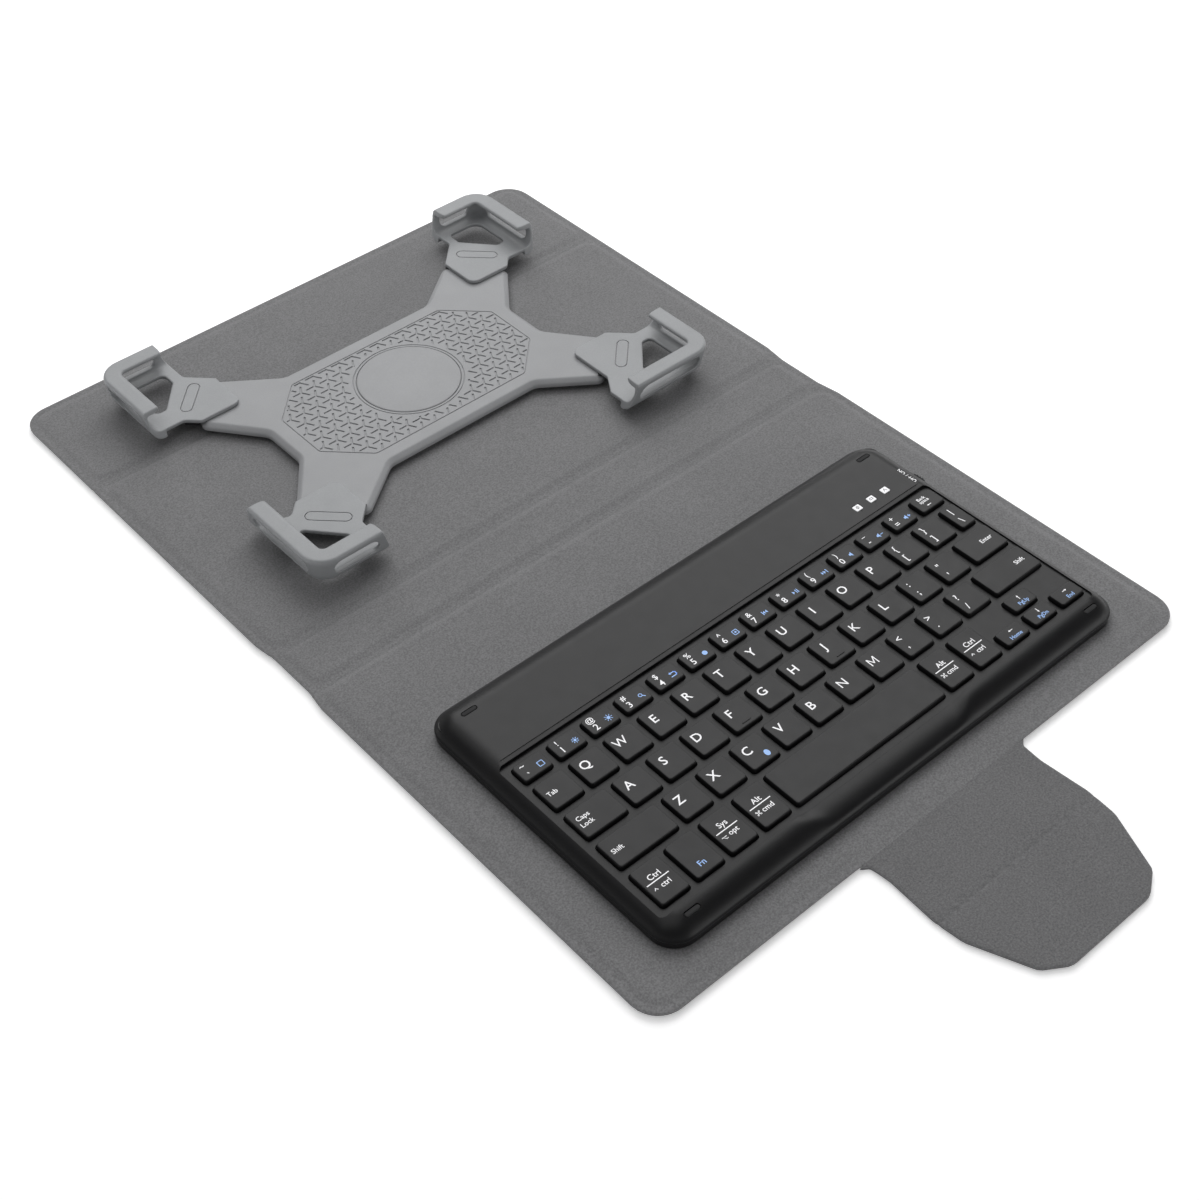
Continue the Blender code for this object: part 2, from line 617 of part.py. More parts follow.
def build_spring(name, sx, sy, mat, origin):
    """Return spring of one grip: a coil lying in its nest under the plate."""
    k = math.sqrt(0.5)
    mid_u = (ARM_TIP_SUM + 28.4) / 2.0
    mid_v = (ARM_TIP_SUM - 28.4) / 2.0
    turns, steps, sides, radius, wire = 6, 6, 4, 1.1, 0.3
    near, far, height = -48.5, -27.5, 6.8
    rings = turns * steps + 1
    verts = []
    for i in range(rings):
        turn = 2.0 * math.pi * i / steps
        along = near + (far - near) * i / (rings - 1)
        for j in range(sides):
            a = 2.0 * math.pi * j / sides
            reach = radius + wire * math.cos(a)
            across = reach * math.cos(turn)
            up = reach * math.sin(turn)
            s = along + wire * math.sin(a)
            u = mid_u + (s - across) * k
            v = mid_v + (s + across) * k
            verts.append((sx * u, HOLDER_Y + sy * v, height + up))
    faces = [tuple(range(sides)), tuple((rings - 1) * sides + j for j in range(sides))]
    for i in range(rings - 1):
        for j in range(sides):
            m = (j + 1) % sides
            faces.append((i * sides + j, i * sides + m, (i + 1) * sides + m, (i + 1) * sides + j))
    return mesh_object(name, verts, faces, mat, origin)


def grip_outline(end_u, end_v):
    """Flat plate of a grip: pointed house toward the middle, a foot under each leg."""
    u, v = HOUSE_U, HOUSE_V
    corners = [(u, v, 4.0), (u + HOUSE_WIDTH_U, v, 1.5)]
    if end_v > v + 4.0:
        reach = end_v - v
        corners += [(u + HOUSE_WIDTH_U + reach, end_v, 2.0), (GRIP_OUTER_U - 1.0, end_v, 3.0)]
    else:
        corners += [(u + HOUSE_WIDTH_U + 6.0, v + 6.0, 2.0), (GRIP_OUTER_U - 8.5, v + 4.0, 1.5)]
        corners += [(GRIP_OUTER_U - 8.5, end_v, 0.0), (GRIP_OUTER_U - 1.0, end_v, 3.0)]
    corners += [(GRIP_OUTER_U - 1.0, GRIP_OUTER_V - 1.0, GRIP_CORNER - 1.0)]
    corners += [(end_u, GRIP_OUTER_V - 1.0, 3.0)]
    side = v + HOUSE_WIDTH_V
    if end_u > u:
        corners += [(end_u, side + end_u - u, 3.0), (u, side, 1.5)]
    else:
        corners += [(end_u, side + 13.0, 2.0), (u, side + 4.0, 3.0)]
    return fillet(corners, 3)


def leg_path(end_u, end_v):
    """Stations (u, v, outward normal) of the wall from one leg end round the corner to the other."""
    cu, cv = GRIP_OUTER_U - GRIP_CORNER, GRIP_OUTER_V - GRIP_CORNER
    stations = [(GRIP_OUTER_U, end_v, 1.0, 0.0)]
    for k in range(6):
        a = math.radians(18.0 * k)
        nu, nv = math.cos(a), math.sin(a)
        stations.append((cu + GRIP_CORNER * nu, cv + GRIP_CORNER * nv, nu, nv))
    stations.append((end_u, GRIP_OUTER_V, 0.0, 1.0))
    return stations


def wall_profile():
    """Section of the leg as (offset outward, height): leaning wall with an in-curled lip."""
    low, top = GRIP_BOTTOM, LIP_TOP
    outer = [(-1.2, low), (0.0, low + 0.9), (0.5, GRIP_TOP), (2.6, top - 3.2), (2.9, top - 1.4)]
    crown = [(2.2, top - 0.3), (1.0, top), (-5.2, top), (-6.2, top - 0.5), (-6.5, top - 1.4)]
    inner = [(-6.0, top - 2.0), (0.2, top - 2.0), (-1.6, GRIP_TOP - 0.6), (-3.0, GRIP_TOP - 0.6), (-3.0, low)]
    return outer + crown + inner


def build_wall(name, end_u, end_v, sx, sy, mat, origin):
    stations = leg_path(end_u, end_v)
    profile = wall_profile()
    count = len(profile)
    verts = []
    for index, (u, v, nu, nv) in enumerate(stations):
        for off, z in profile:
            trim = 0.0
            if index in (0, len(stations) - 1):
                trim = 0.35 * max(0.0, z - GRIP_TOP)
            tu = -trim if index == len(stations) - 1 else 0.0
            tv = -trim if index == 0 else 0.0
            verts.append((sx * (u + off * nu - tu), HOLDER_Y + sy * (v + off * nv - tv), z))
    faces = [tuple(range(count)), tuple((len(stations) - 1) * count + j for j in range(count))]
    for i in range(len(stations) - 1):
        for j in range(count):
            m = (j + 1) % count
            faces.append((i * count + j, i * count + m, (i + 1) * count + m, (i + 1) * count + j))
    return mesh_object(name, verts, faces, mat, origin)


def build_grips(mats):
    for name, sx, sy in CORNERS:
        end_u, end_v = GRIP_ENDS[name]
        mat = mats["grip"]
        origin = (sx * 81.0, HOLDER_Y + sy * 52.3, GRIP_TOP)
        plate = quadrant(grip_outline(end_u, end_v), sx, sy)
        body = prism("grip_" + name, plate, GRIP_UNDER, GRIP_TOP, mat, origin)
        wall = build_wall("wall", end_u, end_v, sx, sy, mat, (0.0, 0.0, 0.0))
        tongue = prism("tongue", quadrant(diagonal_strip(TONGUE_HALF_WIDTH, -TONGUE_LENGTH, 10.0), sx, sy),
                       PLATE_BOTTOM + 0.2, CHANNEL_TOP - 0.3, mat)
        block = prism("block", quadrant(diagonal_strip(TONGUE_HALF_WIDTH, 1.2, 10.0), sx, sy),
                      PLATE_BOTTOM + 0.2, GRIP_TOP - 0.3, mat)
        join(body, [wall, tongue, block])
        window = fillet([(98.0, 52.0, 2.0), (98.0, 74.0, 4.0), (81.0, 74.0, 2.5), (81.0, 66.0, 1.5),
                         (93.0, 52.0, 1.5)], 2)
        slots = [prism("window", quadrant(window, sx, sy), 5.0, 12.0, mat)]
        long_v = box_outline(100.0, 114.0, end_v + 12.0, 70.0)
        long_u = box_outline(end_u + 11.0, 94.0, 78.0, 92.0)
        slots.append(prism("slot", quadrant(long_v, sx, sy), 12.4, 17.4, mat))
        slots.append(prism("slot", quadrant(long_u, sx, sy), 12.4, 17.4, mat))
        cut(body, slots)
        tidy_mesh(body)


def smooth_rounds():
    """Shade round surfaces smooth and keep real edges sharp."""
    for obj in bpy.data.objects:
        obj.data.shade_smooth()
        obj.data.set_sharp_from_angle(angle=math.radians(32.0))


def main():
    clear_scene()
    mats = {
        "skin": make_material("outer_skin", (88, 88, 90), 0.75),
        "board": make_material("stiff_board", (150, 132, 108), 0.85),
        "lining": make_material("lining_cloth", (114, 114, 116), 0.95),
        "steel": make_material("plated_steel", (170, 170, 172), 0.35, 1.0),
        "shell": make_material("keyboard_shell", (78, 78, 79), 0.5),
        "key": make_material("key_cap", (82, 82, 83), 0.6),
        "rubber": make_material("black_rubber", (40, 40, 41), 0.85),
        "sheet": make_material("silicone_sheet", (190, 192, 196), 0.6),
        "battery": make_material("battery_foil", (176, 178, 182), 0.3, 0.8),
        "circuit": make_material("circuit_board", (28, 88, 58), 0.5),
        "window": make_material("indicator_window", (240, 240, 240), 0.35),
        "holder": make_material("holder_plastic", (166, 168, 171), 0.55),
        "grip": make_material("grip_plastic", (163, 166, 170), 0.5),
        "spring": make_material("spring_steel", (180, 180, 180), 0.3, 1.0),
    }
    build_cover(mats)
    build_flap(mats)
    build_keyboard(mats)
    build_keys(mats)
    build_holder(mats)
    build_grips(mats)
    smooth_rounds()


main()
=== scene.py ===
"""Looks of the tablet keyboard case: soft cover, keyboard with printed key caps, four-grip tablet holder."""
import json
import math

import bmesh
import bpy
import numpy as np
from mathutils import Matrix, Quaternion, Vector


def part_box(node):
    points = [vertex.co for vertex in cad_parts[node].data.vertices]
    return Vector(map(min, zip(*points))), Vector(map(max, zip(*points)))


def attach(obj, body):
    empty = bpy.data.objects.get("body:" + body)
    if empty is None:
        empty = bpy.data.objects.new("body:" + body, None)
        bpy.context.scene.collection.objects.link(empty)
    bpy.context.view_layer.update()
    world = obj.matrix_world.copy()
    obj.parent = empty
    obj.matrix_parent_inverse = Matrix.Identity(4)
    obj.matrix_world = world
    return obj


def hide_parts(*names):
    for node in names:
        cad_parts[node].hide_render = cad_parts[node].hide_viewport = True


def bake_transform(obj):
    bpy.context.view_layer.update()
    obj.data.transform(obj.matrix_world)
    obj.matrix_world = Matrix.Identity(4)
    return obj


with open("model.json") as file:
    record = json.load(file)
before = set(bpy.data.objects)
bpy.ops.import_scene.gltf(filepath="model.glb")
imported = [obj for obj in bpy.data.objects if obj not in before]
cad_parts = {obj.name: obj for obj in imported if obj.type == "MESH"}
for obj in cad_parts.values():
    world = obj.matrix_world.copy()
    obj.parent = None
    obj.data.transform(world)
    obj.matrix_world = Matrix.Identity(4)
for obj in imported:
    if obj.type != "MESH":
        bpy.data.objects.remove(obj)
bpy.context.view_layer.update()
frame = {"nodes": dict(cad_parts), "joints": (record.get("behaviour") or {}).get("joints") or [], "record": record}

MM = 0.001
JOINTS = {joint["name"]: joint for joint in frame["joints"]}


def node_box(name):
    low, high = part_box(name)
    return low / MM, high / MM


def node_middle(name):
    low, high = node_box(name)
    return (low + high) / 2.0


def joint_y(name):
    return JOINTS[name]["pos_m"][1] / MM


# Places and sizes in millimetres, read from the frame
CREASE_A = joint_y("spine_fold")
CREASE_B = joint_y("back_cover_fold")
CREASE_C = joint_y("stand_strip_fold")
FLAP_ROOT = joint_y("flap_neck_fold")
FLAP_CREASE = joint_y("flap_tip_fold")
PANEL_LOW, PANEL_HIGH = node_box("keyboard_panel_outer_skin")
HALF_WIDTH = PANEL_HIGH.x
SPINE_HALF_WIDTH = node_box("spine_outer_skin")[1].x
FRONT_EDGE = PANEL_LOW.y
REAR_EDGE = node_box("stand_strip_outer_skin")[1].y
SKIN_TOP = PANEL_HIGH.z
LINING_LOW, LINING_HIGH = node_box("keyboard_panel_lining")
LINING_TOP = LINING_HIGH.z
LINING_UNDER = LINING_LOW.z
BOARD_TOP = node_box("keyboard_panel_board")[1].z
FLAP_LOW, FLAP_HIGH = node_box("flap_tip_outer_skin")
FLAP_END = FLAP_LOW.y
FLAP_HALF = FLAP_HIGH.x
FLAP_TOP = node_box("flap_tip_lining")[1].z
FLAP_SKIN_TOP = FLAP_HIGH.z
SHELL_LOW, SHELL_HIGH = node_box("keyboard_top_shell")
PLATE_LOW, PLATE_HIGH = node_box("holder_plate")
HOLDER_Y = node_middle("holder_plate").y
DISC_HIGH = node_box("holder_disc")[1]
DISC_RADIUS = DISC_HIGH.x
SEAM_SPINE = (CREASE_A + CREASE_B) / 2.0
SEAM_BACK = (CREASE_B + CREASE_C) / 2.0
SEAM_FLAP = (FLAP_ROOT + FLAP_CREASE) / 2.0

# Cover: the outline, the relief of its layers and the rows of the mesh
COVER_CORNER = 12.0
NECK_FAR = 9.0
NECK_NEAR = 2.0
RIM_DROP = 0.5
RIM_LIFT = 1.2
FLAP_LIFT = 0.6
RIM_WIDTH = 3.6
BOARD_EDGE = 5.2
CREASE_HALF = 2.1
STRIP_CREASE_HALF = 2.6
EDGE_STEPS = (0.0, 0.12, 0.3, 0.55, 0.9, 1.4, 2.1, 3.0, 3.5, 4.0, 4.5, 5.0, 5.6, 7.0, 9.0, 12.0)
CREASE_ROWS = 9.0
ROW_PITCH = 0.5
LEAST_PITCH = 0.05
WIDE_HALF = 60.0
WIDE_COLUMNS = 72
NARROW_COLUMNS = 26
SPINE_BEND = 3.6
STRIP_BEND = 4.6
FLAP_BEND = 2.6

# Keyboard shell
DECK_TOP = 10.4
DECK_UNDER = 9.2
WELL_HALF = 115.0
WELL_FRONT = -73.0
WELL_REAR = 14.4
WELL_MOUTH = 16.3
LEDGE = 11.78
SHELL_REAR = 52.5
SHELL_FOOT = 3.35
SCOOP = (-46.5, 32.5)
SCOOP_DRAW = 7.0
RIM_EDGE = 6.9
SHELL_SIDE = ((0.9, SHELL_FOOT), (0.35, 3.6), (0.2, 4.1), (0.12, 6.1), (0.3, 6.2), (0.3, 6.4), (0.05, 6.5),
              (0.0, 6.6), (0.0, RIM_EDGE))
SHELL_SLOPE = ((0.12, 7.03), (0.42, 7.2), (0.75, 7.6), (1.2, 8.2), (1.8, 8.85), (2.5, 9.5), (3.3, 10.1),
               (4.2, 10.68), (5.2, 11.2), (6.3, 11.62), (7.4, 11.92), (8.4, 12.1), (9.4, 12.19))
KEY_GAP = 0.6
WINDOW_HALF = (1.75, 1.55)
WINDOW_GAP = 0.2
WINDOW_EDGE = 2.6
FRONT_BUMPER_TOP = 11.72
BUMPERS = ("bumper_rear_left", "bumper_rear_right", "bumper_front_left", "bumper_front_right")

# Printing: material numbers on a key, and how far the ink reaches below and above a surface
WHITE, BLUE = 1, 2
INK_UNDER = 0.05
INK_OVER = 0.02

# Tablet holder, as seen from its middle
ARM_CORNERS = ((67.6, 11.5, 7.0), (86.8, 36.4, 4.0), (64.9, 58.3, 4.0), (40.0, 39.8, 7.0))
ARM_TIP_SUM = 123.2
ARM_TIP_DIFFERENCE = 28.5
PAD_HALF = (58.8, 31.6)
PAD_CHAMFER = 17.6
STAR_START = (-41.6, 24.06)
STAR_PITCH = 7.15
STAR_ARM = 4.35
STAR_WIDTH = 0.85
STAR_STEPS = 29
LOOSE_STEPS = 8
SIXTH_TURN = math.radians(60.0)
STAR_ANGLES = [math.radians(180.0 + 120.0 * k) for k in range(3)]
GROOVE_DEPTH = 0.45

# Grips
HOUSE_U = 65.0
HOUSE_V = 35.5
HOUSE_WIDTH_U = 21.0
HOUSE_WIDTH_V = 21.0
GRIP_UNDER = 9.3
GRIP_TOP = 11.0
GRIP_BOTTOM = 7.4
GRIP_OUTER_U = 106.5
GRIP_OUTER_V = 82.5
GRIP_CORNER = 9.0
LIP_TOP = 21.2
PLUG_CENTRE = (81.0, 52.3)
PLUG_SIZES = ((20.0, 5.6), (19.2, 4.8))
GRIP_WINDOW = ((98.5, 52.0, 2.5), (98.5, 74.5, 5.0), (81.0, 74.5, 3.0), (81.0, 66.5, 2.0), (93.5, 52.0, 2.0))
SLOT_HEIGHTS = (11.9, 18.6)
END_LEAN = 0.32
END_REACH = 4.2
CORNERS = (("rear_left", -1, 1), ("rear_right", 1, 1), ("front_left", -1, -1), ("front_right", 1, -1))
GRIP_ENDS = {
    "rear_left": (75.5, 41.0),
    "rear_right": (77.0, 40.6),
    "front_left": (72.5, 32.5),
    "front_right": (59.0, 45.0),
}

# Stage, light and camera, in metres
FLOOR_HALF = 15.0
FLOOR_Z = -0.0002
WORLD_LEVEL = 0.6
LIGHT_TARGET = (0.0, 0.07, 0.0)
LIGHTS = (
    ("rear_softbox", (0.75, 0.95, 1.15), (1.7, 1.3), 19.0),
    ("overhead", (-0.3, 0.3, 1.8), (2.0, 2.0), 12.0),
    ("front_strip", (0.78, -1.15, 0.3), (1.4, 0.2), 3.2),
)
CAMERA_PLACE = Vector((-0.3678, -0.3380, 0.5296))
CAMERA_TARGET = Vector((-0.0214, 0.0637, 0.0))
CAMERA_ROLL = math.radians(-0.95)
CAMERA_LENS = 56.13
CAMERA_SHIFT = (-0.0015, -0.00275)


# Shapes ------------------------------------------------------------------------------------

def smooth(value, low, high):
    """0 below low, 1 above high and an even curve between; works on numbers and arrays."""
    t = np.clip((value - low) / (high - low), 0.0, 1.0)
    return t * t * (3.0 - 2.0 * t)


def signed_area(points):
    total = 0.0
    for i, (x0, y0) in enumerate(points):
        x1, y1 = points[(i + 1) % len(points)]
        total += x0 * y1 - x1 * y0
    return total / 2.0


def counter_clockwise(points):
    return list(points) if signed_area(points) > 0 else list(reversed(points))


def fillet(corners, steps=8):
    """Closed outline from (x, y, radius) corners, each corner rounded with an arc."""
    points = []
    count = len(corners)
    for i, (x, y, radius) in enumerate(corners):
        if radius <= 0:
            points.append((x, y))
            continue
        here = Vector((x, y))
        back = (Vector(corners[i - 1][:2]) - here).normalized()
        ahead = (Vector(corners[(i + 1) % count][:2]) - here).normalized()
        half = math.acos(max(-1.0, min(1.0, back.dot(ahead)))) / 2.0
        start = here + back * (radius / math.tan(half))
        end = here + ahead * (radius / math.tan(half))
        centre = here + (back + ahead).normalized() * (radius / math.sin(half))
        a0 = math.atan2(start.y - centre.y, start.x - centre.x)
        a1 = math.atan2(end.y - centre.y, end.x - centre.x)
        turn = (a1 - a0 + math.pi) % (2.0 * math.pi) - math.pi
        for k in range(steps + 1):
            angle = a0 + turn * k / steps
            points.append((centre.x + radius * math.cos(angle), centre.y + radius * math.sin(angle)))
    return points


def mirrored(right, steps):
    """Closed outline from the corners of its right half, given from front to rear."""
    left = [(-x, y, radius) for x, y, radius in reversed(right)]
    return counter_clockwise(fillet(right + left, steps))


def box_outline(x0, x1, y0, y1, radius=0.0, steps=6):
    return fillet([(x0, y0, radius), (x1, y0, radius), (x1, y1, radius), (x0, y1, radius)], steps)


def stadium(x, y, length, width, steps=8):
    r = width / 2.0
    return box_outline(x - length / 2.0, x + length / 2.0, y - r, y + r, r * 0.999, steps)


def ring_outline(radius, centre=(0.0, 0.0), count=96):
    return [(centre[0] + radius * math.cos(2.0 * math.pi * i / count),
             centre[1] + radius * math.sin(2.0 * math.pi * i / count)) for i in range(count)]


def raised(points, z):
    return [(x, y, z) for x, y in points]


def inset(points, distance):
    """Move every side of a counter-clockwise outline inward by the same distance."""
    out = []
    count = len(points)
    for i in range(count):
        here = Vector(points[i])
        before = (here - Vector(points[i - 1])).normalized()
        after = (Vector(points[(i + 1) % count]) - here).normalized()
        n0 = Vector((-before.y, before.x))
        n1 = Vector((-after.y, after.x))
        middle = (n0 + n1).normalized()
        out.append(tuple(here + middle * (distance / max(0.35, middle.dot(n0)))))
    return out


class Shape:
    """Vertices, faces and a material number for each face, gathered piece by piece."""

    def __init__(self):
        self.verts = []
        self.faces = []
        self.looks = []

    def add(self, verts, faces, look=0):
        base = len(self.verts)
        self.verts.extend(verts)
        self.faces.extend(tuple(base + i for i in face) for face in faces)
        self.looks.extend([look] * len(faces))

    def loft(self, rings, look=0):
        """Closed body through rings of (x, y, z) points, with a flat cap at both ends."""
        count = len(rings[0])
        verts = [point for ring in rings for point in ring]
        faces = [tuple(reversed(range(count)))]
        for level in range(len(rings) - 1):
            low = level * count
            for i in range(count):
                j = (i + 1) % count
                faces.append((low + i, low + j, low + count + j, low + count + i))
        top = (len(rings) - 1) * count
        faces.append(tuple(range(top, top + count)))
        self.add(verts, faces, look)

    def prism(self, points, z0, z1, look=0):
        points = counter_clockwise(points)
        self.loft([raised(points, z0), raised(points, z1)], look)

    def tube(self, outer, inner, z0, z1, look=0):
        """Closed frame between two outlines with the same number of points."""
        count = len(outer)
        verts = raised(outer, z0) + raised(inner, z0) + raised(inner, z1) + raised(outer, z1)
        faces = []
        for level in range(4):
            low, high = level * count, (level + 1) % 4 * count
            for i in range(count):
                j = (i + 1) % count
                faces.append((low + i, low + j, high + j, high + i))
        self.add(verts, faces, look)

    def bar(self, start, end, width, z0, z1, look=0):
        """Straight printed stroke with square ends that reach half a width past its points."""
        a, b = Vector(start), Vector(end)
        along = (b - a).normalized() * (width / 2.0)
        across = Vector((-along.y, along.x))
        self.prism([a - along - across, b + along - across, b + along + across, a - along + across],
                   z0, z1, look)

    def build(self, name, materials, sharp=35.0):
        mesh = bpy.data.meshes.new(name)
        mesh.from_pydata([(x * MM, y * MM, z * MM) for x, y, z in self.verts], [], self.faces)
        for material in materials:
            mesh.materials.append(material)
        mesh.polygons.foreach_set("material_index", self.looks)
        bm = bmesh.new()
        bm.from_mesh(mesh)
        bmesh.ops.recalc_face_normals(bm, faces=bm.faces)
        bm.to_mesh(mesh)
        bm.free()
        shade(mesh, sharp)
        return add_object(name, mesh)


def add_object(name, data):
    obj = bpy.data.objects.new(name, data)
    bpy.context.scene.collection.objects.link(obj)
    return obj


def shade(mesh, sharp):
    mesh.shade_smooth()
    mesh.set_sharp_from_angle(angle=math.radians(sharp))


def apply_modifiers(obj):
    """Keep the evaluated shape as the object's own mesh."""
    graph = bpy.context.evaluated_depsgraph_get()
    mesh = bpy.data.meshes.new_from_object(obj.evaluated_get(graph))
    obj.modifiers.clear()
    old = obj.data
    obj.data = mesh
    bpy.data.meshes.remove(old)


def cut(obj, shape):
    """Take the shape's volume out of the object; the new faces get the object's own material."""
    cutter = shape.build("cutter", [obj.data.materials[0]])
    mod = obj.modifiers.new("cut", 'BOOLEAN')
    mod.operation = 'DIFFERENCE'
    mod.solver = 'EXACT'
    mod.object = cutter
    apply_modifiers(obj)
    bpy.data.objects.remove(cutter, do_unlink=True)


def place(obj, body, slot, *nodes):
    """The piece rides on a body and may stand for CAD nodes, which are hidden; slot is not used."""
    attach(obj, body)
    if nodes:
        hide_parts(*nodes)
    return obj


# Materials ---------------------------------------------------------------------------------

def feed(tree, socket, value):
    """Set a shader input to a value, or link it to the output that is given."""
    if isinstance(value, bpy.types.NodeSocket):
        tree.links.new(value, socket)
    else:
        socket.default_value = value


def add_node(tree, kind, **inputs):
    """New shader node with its inputs set; a name's blanks are written as underscores."""
    node = tree.nodes.new("ShaderNode" + kind)
    for name, value in inputs.items():
        feed(tree, node.inputs[name.replace("_", " ")], value)
    return node


def ramp(tree, value, low, high, start=0.3, end=0.7):
    """Colour that runs from low to high as the value goes from start to end."""
    node = add_node(tree, "ValToRGB", Fac=value)
    for element, position, colour in zip(node.color_ramp.elements, (start, end), (low, high)):
        element.position = position
        element.color = colour
    return node.outputs["Color"]


def display(value):
    """Linear colour from a grey or a red-green-blue triple on the 0-255 display scale."""
    triple = value if isinstance(value, tuple) else (value, value, value)
    out = []
    for channel in triple:
        c = channel / 255.0
        out.append(c / 12.92 if c <= 0.04045 else ((c + 0.055) / 1.055) ** 2.4)
    return out + [1.0]


class Look:
    """A Principled material whose colour, roughness and bump come from object-space noise."""

    def __init__(self, name, roughness, metallic=0.0):
        self.material = bpy.data.materials.new(name)
        self.material.use_nodes = True
        self.tree = self.material.node_tree
        self.shader = self.tree.nodes["Principled BSDF"]
        self.set("Roughness", roughness).set("Metallic", metallic)
        self.place = self.node("TexCoord").outputs["Object"]
        self.normal = None

    def set(self, name, value):
        feed(self.tree, self.shader.inputs[name], value)
        return self

    def node(self, kind, **inputs):
        return add_node(self.tree, kind, **inputs)

    def mix(self, first, second, share, blend='MIX'):
        mix = self.node("Mix")
        mix.data_type = 'RGBA'
        mix.blend_type = blend
        for index, value in ((0, share), (6, first), (7, second)):
            feed(self.tree, mix.inputs[index], value)
        return mix.outputs[2]

    def soft_edges(self, radius, lift=0.0, colour=None):
        """Round the shading of edges; lift paints a highlight on the edges in the lighter colour."""
        bevel = self.node("Bevel", Radius=radius * MM)
        bevel.samples = 4
        self.normal = bevel.outputs["Normal"]
        self.set("Normal", self.normal)
        if lift:
            # Painted highlight: where the rounded shading normal turns away from the face's own normal, the colour
            # is mixed toward the lighter edge colour.
            facing = self.node("VectorMath")
            facing.operation = 'DOT_PRODUCT'
            feed(self.tree, facing.inputs[0], self.normal)
            feed(self.tree, facing.inputs[1], self.node("NewGeometry").outputs["Normal"])
            painted_edge_highlight = self.node("MapRange", Value=facing.outputs["Value"],
                             From_Min=0.995, From_Max=0.9, To_Max=lift)
            plain = self.shader.inputs["Base Color"].links[0].from_socket
            self.set("Base Color", self.mix(plain, display(colour), painted_edge_highlight.outputs["Result"]))
        return self

    def noise(self, size, detail=2.0, stretch=(1.0, 1.0, 1.0)):
        """Noise value whose features are about size millimetres wide."""
        mapping = self.node("Mapping", Vector=self.place, Scale=stretch)
        place = mapping.outputs["Vector"]
        return self.node("TexNoise", Vector=place, Scale=1.0 / (size * MM), Detail=detail).outputs["Fac"]

    def cells(self, size):
        return self.node("TexVoronoi", Vector=self.place, Scale=1.0 / (size * MM)).outputs["Distance"]

    def roughness(self, value, low, high):
        span = self.node("MapRange", Value=value, To_Min=low, To_Max=high)
        return self.set("Roughness", span.outputs["Result"])

    def bump(self, height, depth, strength=1.0):
        """Relief of the given depth in millimetres, stacked on any relief before it."""
        bump = self.node("Bump", Height=height, Distance=depth * MM, Strength=strength)
        if self.normal is not None:
            feed(self.tree, bump.inputs["Normal"], self.normal)
        self.normal = bump.outputs["Normal"]
        return self.set("Normal", self.normal)


def speckled(look, base, spread, fine, coarse):
    """Base grey with a fine speckle and a slow cloudiness, both a few display levels deep."""
    low = display(tuple(c - spread for c in base))
    high = display(tuple(c + spread for c in base))
    grain = ramp(look.tree, look.noise(fine, 3.0), low, high)
    cloud = ramp(look.tree, look.noise(coarse, 2.0), (0.93, 0.93, 0.93, 1.0), (1.0, 1.0, 1.0, 1.0))
    return look.set("Base Color", look.mix(grain, cloud, 1.0, 'MULTIPLY'))


def microfibre(name, base):
    """Brushed microfibre: short nap, speckle, slow shading where the nap lies another way."""
    look = Look(name, 0.95)
    speckled(look, base, 15, 0.7, 26.0)
    look.set("Sheen Weight", 0.25).set("Sheen Roughness", 0.6).set("Specular IOR Level", 0.15)
    look.bump(look.noise(0.45, 4.0, (1.0, 1.6, 1.0)), 0.18, 0.7)
    look.bump(look.noise(3.4, 2.0), 0.16, 0.4)
    return look.material


def synthetic_leather(name, base):
    look = Look(name, 0.62)
    speckled(look, base, 5, 0.8, 30.0)
    look.roughness(look.noise(3.0), 0.55, 0.72)
    look.bump(look.cells(0.75), 0.14, 0.55)
    look.bump(look.noise(0.3, 3.0), 0.05, 0.4)
    return look.material


def moulded_plastic(name, base, roughness, grain, depth, spread=2, edge=0.25, painted_edge_highlight=None, gloss=0.5):
    """Satin injection-moulded plastic with a spark-eroded grain and rounded edges; a colour given for the edges
    paints a highlight on them.
    """
    look = Look(name, roughness)
    speckled(look, base, spread, grain * 1.5, 22.0)
    look.set("Specular IOR Level", gloss)
    look.soft_edges(edge, 0.6 if painted_edge_highlight else 0.0, painted_edge_highlight)
    look.roughness(look.noise(5.0, 3.0), roughness - 0.06, roughness + 0.06)
    look.bump(look.noise(grain, 2.0), depth, 0.5)
    return look.material


def print_ink_with_glow(name, base):
    look = Look(name, 0.55)
    speckled(look, base, 4, 0.3, 4.0)
    # The ink also glows faintly in its own colour, a painted brightness; it is no lamp.
    look.set("Emission Color", display(base)).set("Emission Strength", 0.35)
    look.bump(look.noise(0.15), 0.01, 0.5)
    return look.material


def brushed_metal(name, base):
    look = Look(name, 0.32, 1.0)
    speckled(look, base, 6, 0.5, 12.0)
    look.roughness(look.noise(0.3, 3.0, (0.05, 1.0, 1.0)), 0.25, 0.45)
    look.bump(look.noise(0.2, 2.0, (0.05, 1.0, 1.0)), 0.02, 0.4)
    return look.material


def fibre_board(name, base):
    look = Look(name, 0.9)
    speckled(look, base, 12, 0.9, 10.0)
    look.bump(look.noise(0.6, 4.0), 0.1, 0.6)
    return look.material


def lacquered_board(name, base):
    look = Look(name, 0.4)
    speckled(look, base, 6, 1.2, 6.0)
    look.bump(look.cells(2.2), 0.05, 0.5)
    return look.material


